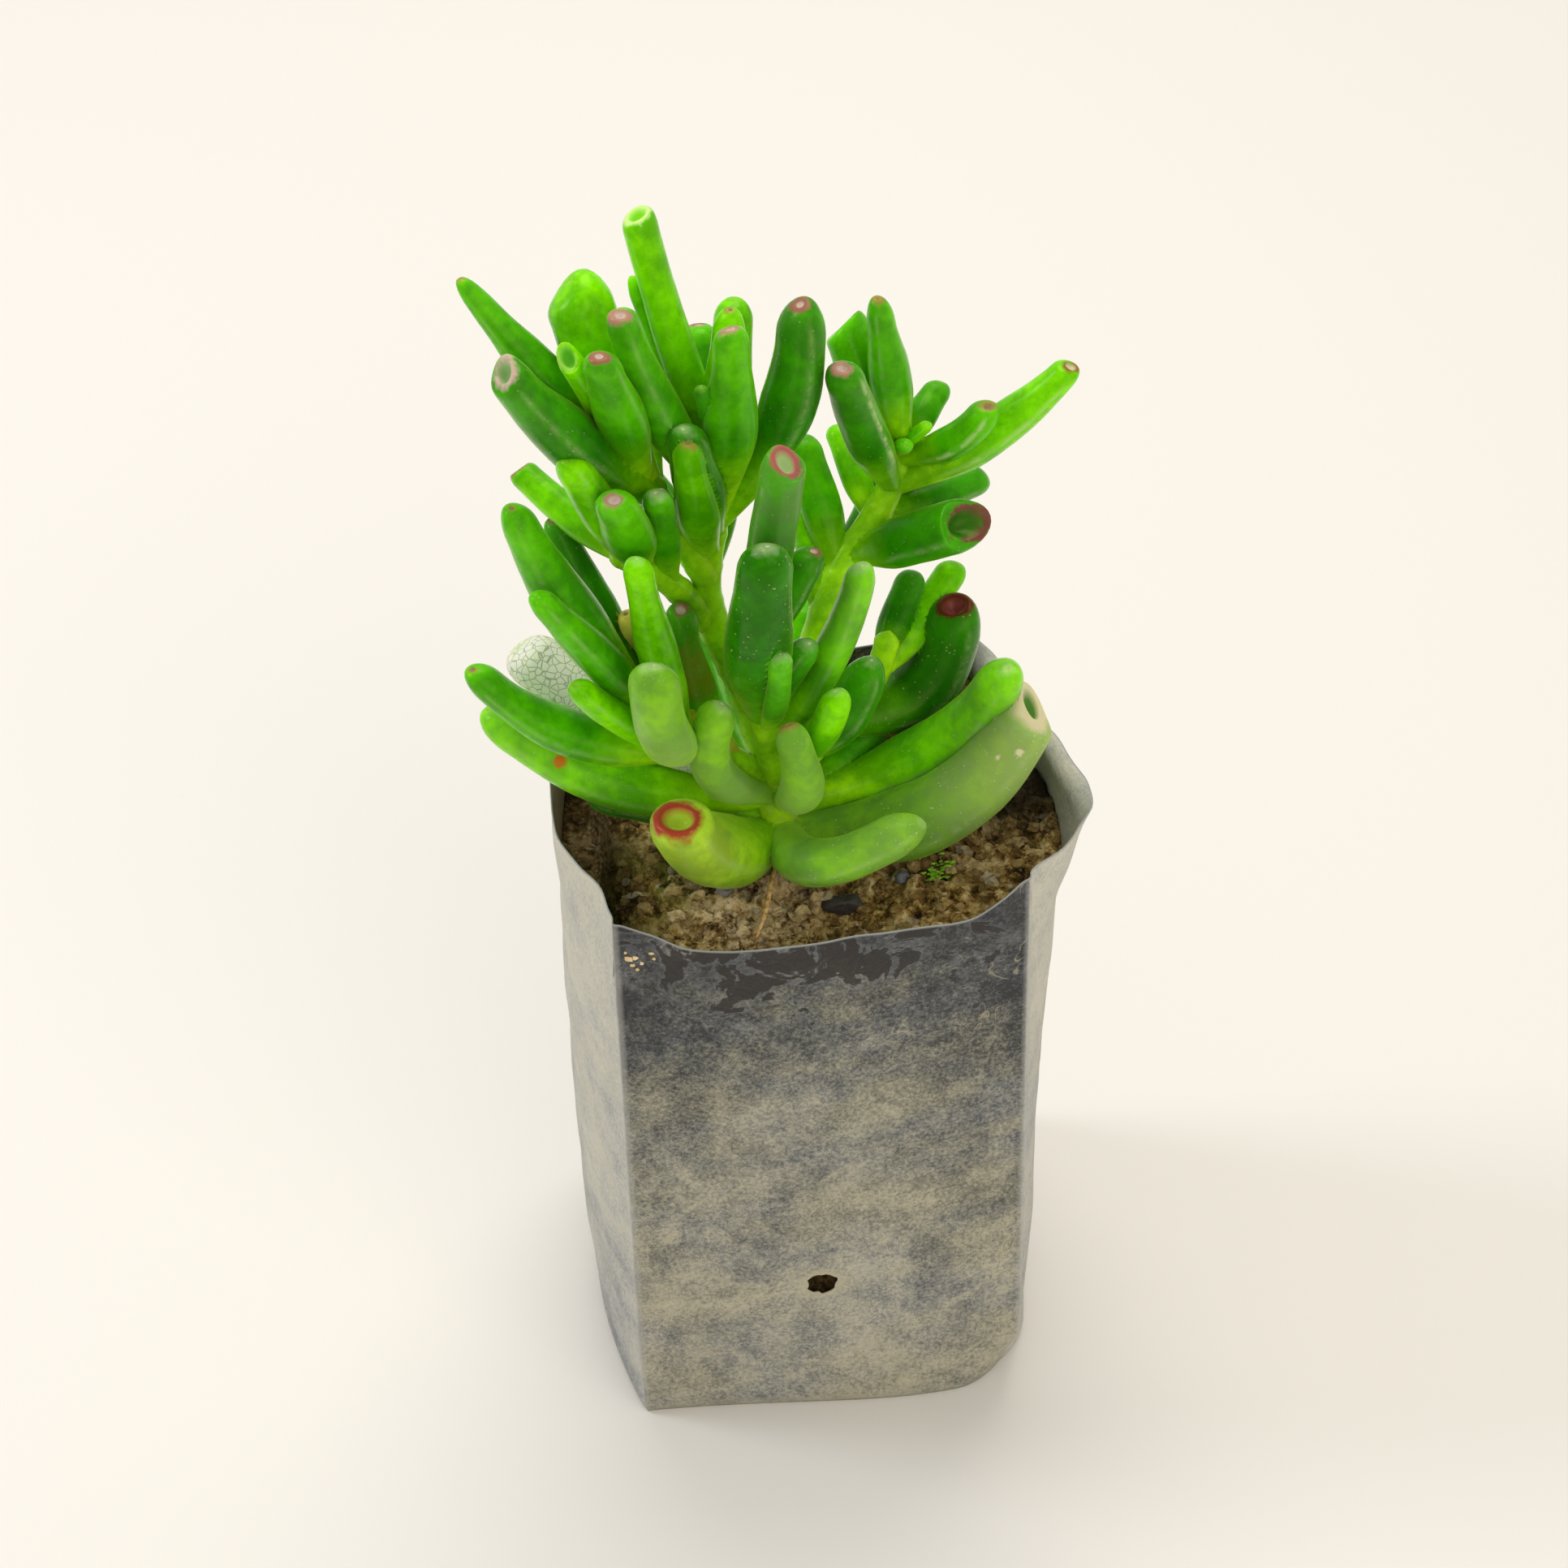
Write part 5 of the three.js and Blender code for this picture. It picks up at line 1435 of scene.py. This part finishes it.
# Jade leaf: a waxy skin over wet green flesh, so light goes in and comes out saturated green,
# and the wax shows as a pale sheen at the edges.
def waxyLeafSkin():
    material, tree, surface = newMaterial(
        "waxyLeafSkin", IOR=1.42, Specular_IOR_Level=0.3, Specular_Tint=(0.85, 1.0, 0.3, 1.0),
        Subsurface_Weight=0.5, Subsurface_Scale=0.004, Subsurface_Radius=(0.6, 1.0, 0.03),
        Sheen_Weight=0.3, Sheen_Roughness=0.3, Sheen_Tint=(0.7, 1.0, 0.1, 1.0),
    )
    place = addNode(tree, "TexCoord").outputs["Object"]
    skin, rimColour, dishColour = (
        addNode(tree, "Attribute", attribute_name=name).outputs["Color"]
        for name in ("skin", "rimColour", "dishColour")
    )
    rimDistance, reach, strength, bloom, speck, rust, cork, margin = (
        addNode(tree, "Attribute", attribute_name=name).outputs["Fac"]
        for name in ("rimDistance", "rimReach", "rimStrength", "bloom", "speck", "rust", "cork", "margin")
    )
    broad = addNode(tree, "TexNoise", {"Vector": place, "Scale": 1000 / 12, "Detail": 3.0, "Roughness": 0.55})
    mottle = addNode(tree, "TexNoise", {"Vector": place, "Scale": 1000 / 2.6, "Detail": 5.0, "Roughness": 0.65})
    pores = addNode(tree, "TexNoise", {"Vector": place, "Scale": 1000 / 0.5, "Detail": 2.0})
    # flesh: broad drifts between the skin's own green and a deeper one
    deeper = addNode(tree, "Mix", {0: 0.8, 6: skin, 7: linear("#8cb44c")}, data_type="RGBA", blend_type="MULTIPLY")
    drift = addNode(tree, "MapRange", {0: broad, 1: 0.42, 2: 0.62, 3: 0.0, 4: 0.8})
    fine = addNode(tree, "MapRange", {0: mottle, 1: 0.38, 2: 0.62, 3: 0.0, 4: 0.45})
    drift = addNode(tree, "Math", {0: drift, 1: fine}, operation="ADD")
    # painted highlight: thin pale lines along the leaf's two margins
    marginHighlight = addNode(tree, "MapRange", {0: margin, 1: 0.1, 2: 1.0, 3: 0.0, 4: 0.6})
    broken = addNode(tree, "MapRange", {0: mottle, 1: 0.4, 2: 0.55, 3: 0.1, 4: 1.0})
    marginHighlight = addNode(tree, "Math", {0: marginHighlight, 1: broken}, operation="MULTIPLY")
    # wax bloom: a grey-green film, rubbed away in patches
    rubbed = addNode(tree, "MapRange", {0: broad, 1: 0.38, 2: 0.6, 3: 0.35, 4: 1.0})
    worn = addNode(tree, "MapRange", {0: mottle, 1: 0.3, 2: 0.6, 3: 0.5, 4: 1.0})
    wax = addNode(tree, "Math", {0: rubbed, 1: worn}, operation="MULTIPLY")
    wax = addNode(tree, "Math", {0: wax, 1: bloom}, operation="MULTIPLY")
    waxed = addNode(tree, "Math", {0: wax, 1: 0.6}, operation="MULTIPLY")
    # pale specks, about a third of a millimetre, in loose groups
    dots = addNode(tree, "TexVoronoi", {"Vector": place, "Scale": 1000 / 1.15, "Randomness": 1.0})
    specked = addNode(tree, "MapRange", {0: dots, 1: 0.22, 2: 0.12, 3: 0.0, 4: 1.0})
    groups = addNode(tree, "MapRange", {0: mottle, 1: 0.48, 2: 0.58, 3: 0.0, 4: 0.7})
    for share in (groups, speck):
        specked = addNode(tree, "Math", {0: specked, 1: share}, operation="MULTIPLY")
    # ageing: yellow, then orange-red streaks along the broad pattern
    aged = addNode(tree, "MapRange", {0: broad, 1: 0.46, 2: 0.62, 3: 0.0, 4: 1.0})
    aged = addNode(tree, "Math", {0: aged, 1: rust}, operation="MULTIPLY")
    ageColour = addNode(tree, "ValToRGB", {"Fac": mottle})
    fillRamp(ageColour, [(0.35, "#cf5a1c"), (0.5, "#dba030"), (0.65, "#d8c850")])
    # cork: near-white plates with thin grey-green cracks
    plates = addNode(
        tree, "TexVoronoi", {"Vector": place, "Scale": 1000 / 1.5, "Randomness": 1.0}, feature="DISTANCE_TO_EDGE"
    )
    crack = addNode(tree, "MapRange", {0: plates, 1: 0.0, 2: 0.07, 3: 0.0, 4: 1.0})
    corkColour = addNode(tree, "Mix", {0: crack, 6: linear("#9aa486"), 7: linear("#e8e8dc")}, data_type="RGBA")
    corked = addNode(tree, "Math", {0: mottle, 1: 0.5}, operation="SUBTRACT")
    corked = addNode(tree, "Math", {0: corked, 1: cork}, operation="ADD")
    corked = addNode(tree, "MapRange", {0: corked, 1: 0.3, 2: 0.6, 3: 0.0, 4: 0.95})
    # the rim's colour fades down the finger, broken by the mottle
    ragged = addNode(tree, "MapRange", {0: mottle, 1: 0.3, 2: 0.7, 3: -0.9, 4: 0.9})
    lopsided = addNode(tree, "MapRange", {0: broad, 1: 0.4, 2: 0.6, 3: 1.0, 4: -0.9})
    fromRim = rimDistance
    for shift in (ragged, lopsided):
        fromRim = addNode(tree, "Math", {0: fromRim, 1: shift}, operation="ADD")
    rimmed = addNode(tree, "MapRange", {0: fromRim, 1: reach, 2: 0.0, 3: 0.0, 4: 1.0})
    rimmed = addNode(tree, "Math", {0: rimmed, 1: strength}, operation="MULTIPLY")
    rimmed = addNode(tree, "Math", {0: rimmed, 1: 0.95}, operation="MINIMUM")
    dished = addNode(tree, "MapRange", {0: rimDistance, 1: -0.1, 2: -0.45, 3: 0.0, 4: 0.92})
    coats = [
        (drift, deeper), (marginHighlight, linear("#d4e8a0")), (waxed, linear("#b4cc84")), (specked, linear("#d0e0a0")),
        (aged, ageColour), (corked, corkColour), (rimmed, rimColour), (dished, dishColour),
    ]
    # single scars: cream ones at the low right leaf's end, an orange one at the left
    scarEdge = addNode(tree, "MapRange", {0: mottle, 1: 0.3, 2: 0.7, 3: -0.4 * mm, 4: 0.4 * mm})
    for spot, radius, hexColour in leafScars:
        apart = addNode(tree, "VectorMath", {0: place, 1: tuple(Vector(spot) * mm)}, operation="DISTANCE")
        apart = addNode(tree, "Math", {0: apart, 1: scarEdge}, operation="ADD")
        scar = addNode(tree, "MapRange", {0: apart, 1: radius * mm, 2: radius * 0.6 * mm, 3: 0.0, 4: 0.85})
        coats.append((scar, linear(hexColour)))
    colour = skin
    for share, coat in coats:
        colour = addNode(tree, "Mix", {0: share, 6: colour, 7: coat}, data_type="RGBA")
    rough = addNode(tree, "MapRange", {0: wax, 1: 0.0, 2: 0.8, 3: 0.24, 4: 0.5})
    rough = addNode(tree, "Mix", {0: corked, 2: rough, 3: 0.85})
    height = addNode(tree, "Math", {0: pores, 1: 0.3}, operation="MULTIPLY")
    corkHeight = addNode(tree, "Math", {0: crack, 1: corked}, operation="MULTIPLY")
    for relief in (mottle, corkHeight):
        height = addNode(tree, "Math", {0: height, 1: relief}, operation="ADD")
    bump = addNode(tree, "Bump", {"Strength": 0.45, "Distance": 0.2 * mm, "Height": height})
    setInputs(tree, surface, {"Base Color": colour, "Roughness": rough, "Normal": bump})
    return material


leafSkin = waxyLeafSkin()
for shoot in shoots:
    made = buildShoot(shoot, leafSkin)
    print(made.name, "made:", len(made.data.polygons), "faces")

# Small finds: a dry straw on the soil, a moss sprig, and crumbs of dirt stuck on the film.
straw = {
    "strands": [
        [(-6.6, -17.5, 139.4), (-8.2, -22.5, 138.4), (-10.2, -29, 137.3), (-12.7, -35, 136.4)],
        [(-7.0, -18.5, 139.0), (-8.8, -24, 138.0), (-11.4, -31.5, 136.4)],
    ],
    "width": 1.0,
    "flatness": 0.5,
    # how thin its ends are, and which stretch of a half wave gives the width between them
    "endShare": 0.35,
    "waveStart": 0.15,
    "waveRun": 0.8,
    "step": 0.7,
    "sides": 8,
}
moss = {
    "place": (25, -18.5),
    "spread": 2.5,
    "leaves": 60,
    "size": (1.6, 0.8, 0.5),
    "scale": (0.6, 1.15),
    "lift": (0.4, 1.6),
    "seed": 9,
}

# Dirt stuck on the film just under its rim: along the front, height and size.
filmDirt = {
    "flecks": [
        (-37.6, 137.6, 1.5), (-36.4, 138.4, 1.3), (-37.0, 136.2, 1.1), (-35.3, 137.4, 0.9), (-38.2, 139.0, 0.8),
        (-33.4, 141.0, 1.2), (-33.0, 139.8, 0.8), (-36.2, 135.4, 0.7),
    ],
    "thin": 0.35,
    "widths": (0.8, 1.2),
    "heights": (0.7, 1.1),
    "seed": 13,
}


# Dry straw, moss and dried dirt: matt, with a fine grain between a darker and a paler tone.
def plainPlant(name, dark, light, roughness):
    material, tree, surface = newMaterial(name, Roughness=roughness)
    place = addNode(tree, "TexCoord").outputs["Object"]
    grain = addNode(tree, "TexNoise", {"Vector": place, "Scale": 1000 / 0.9, "Detail": 3.0})
    share = addNode(tree, "MapRange", {0: grain, 1: 0.35, 2: 0.65, 3: 0.0, 4: 1.0})
    colour = addNode(tree, "Mix", {0: share, 6: linear(dark), 7: linear(light)}, data_type="RGBA")
    setInputs(tree, surface, {"Base Color": colour})
    return material


def buildStraw():
    bm = bmesh.new()
    angles = bm.verts.layers.float.new("angle")
    for strand in straw["strands"]:
        samples = smoothPath(strand, straw["step"])
        ring = startRing(bm, angles, evenAngles(straw["sides"]))
        for count, spot in enumerate(samples):
            if count:
                ring = nextRing(bm, ring)
            heading = (samples[min(count + 1, len(samples) - 1)] - samples[max(count - 1, 0)]).normalized()
            side = heading.cross(Vector((0, 0, 1))).normalized()
            up = side.cross(heading)
            share = count / (len(samples) - 1)
            wave = math.sin(math.pi * (straw["waveStart"] + straw["waveRun"] * share))
            radius = straw["width"] / 2 * (straw["endShare"] + (1 - straw["endShare"]) * wave)
            for vert in ring:
                angle = vert[angles]
                spoke = side * math.cos(angle) + up * math.sin(angle) * straw["flatness"]
                vert.co = (spot + spoke * radius) * mm
        closeRing(bm, ring, samples[-1] * mm)
    fillRoots(bm)
    smoothFaces(bm)
    finishPiece(bm, "dryStraw", plainPlant("dryStraw", "#b07838", "#f0c888", 0.55))


def buildMoss():
    draw = random.Random(moss["seed"])
    bm = bmesh.new()
    tint = bm.verts.layers.float.new("tint")
    wanted = []
    for _ in range(moss["leaves"]):
        x = moss["place"][0] + draw.gauss(0, moss["spread"] / 2)
        y = moss["place"][1] + draw.gauss(0, moss["spread"] / 2)
        place = Vector((x, y, soilTop(x, y) + draw.uniform(*moss["lift"])))
        size = Vector(moss["size"]) * draw.uniform(*moss["scale"])
        wanted.append((place * mm, size * mm, draw.random(), 1))
    addPebbles(bm, tint, wanted, draw)
    smoothFaces(bm)
    finishPiece(bm, "mossSprig", plainPlant("mossSprig", "#6cb010", "#b4e83c", 0.55))


def buildFilmDirt():
    draw = random.Random(filmDirt["seed"])
    bm = bmesh.new()
    tint = bm.verts.layers.float.new("tint")
    wanted = []
    for x, z, size in filmDirt["flecks"]:
        # the front runs from -40 to 40, so its place along gives the turn
        turn = x / bag["panelWidth"] + 0.5
        place = filmPoint(turn, z / bag["height"])
        width, height = (size * draw.uniform(*filmDirt[shares]) for shares in ("widths", "heights"))
        size = Vector((width, filmDirt["thin"], height))
        wanted.append((place, size * mm, draw.random(), 2))
    addPebbles(bm, tint, wanted, draw)
    finishPiece(bm, "filmDirt", plainPlant("driedDirt", "#d8b478", "#f0dcb0", 0.9))


buildStraw()
buildMoss()
buildFilmDirt()
print("straw, moss and dirt made")

# The stage: a plain pale floor, a bright pale surround and broad soft lights.
studio = {
    "aimHeight": 0.15,
    "floorSize": 6.0,
    "floorColour": "#eeebe5",
    "worldColour": "#fbf8f2",
    "worldStrength": 0.58,
    "lights": [
        {"name": "skyLeft", "place": (-0.95, 0.25, 0.95), "size": 0.4, "power": 4.6, "colour": "#f4f7ff"},
        {"name": "topBack", "place": (0.1, 0.55, 1.3), "size": 0.9, "power": 7.6, "colour": "#fffaf2"},
        {"name": "fillFront", "place": (0.4, -0.9, 0.7), "size": 1.0, "power": 3.6, "colour": "#fff8ee"},
    ],
}


def buildStage():
    bm = bmesh.new()
    bmesh.ops.create_grid(bm, x_segments=1, y_segments=1, size=studio["floorSize"] / 2)
    mesh = bpy.data.meshes.new("floor")
    bm.to_mesh(mesh)
    bm.free()
    floor = addObject("floor", mesh)
    material, tree, surface = newMaterial("paleFloor", Roughness=0.85)
    surface.inputs["Base Color"].default_value = linear(studio["floorColour"])
    mesh.materials.append(material)
    world = bpy.data.worlds.new("surround")
    world.use_nodes = True
    sky = world.node_tree.nodes["Background"]
    sky.inputs["Color"].default_value = linear(studio["worldColour"])
    sky.inputs["Strength"].default_value = studio["worldStrength"]
    bpy.context.scene.world = world
    for lamp in studio["lights"]:
        data = bpy.data.lights.new(lamp["name"], "AREA")
        data.shape = "DISK"
        data.size = lamp["size"]
        data.energy = lamp["power"]
        data.color = linear(lamp["colour"])[:3]
        light = addObject(lamp["name"], data)
        light.location = lamp["place"]
        aim = Vector((0, 0, studio["aimHeight"])) - light.location
        light.rotation_euler = aim.to_track_quat("-Z", "Y").to_euler()
    bpy.context.scene.view_settings.view_transform = "Standard"


buildStage()
print("stage set")
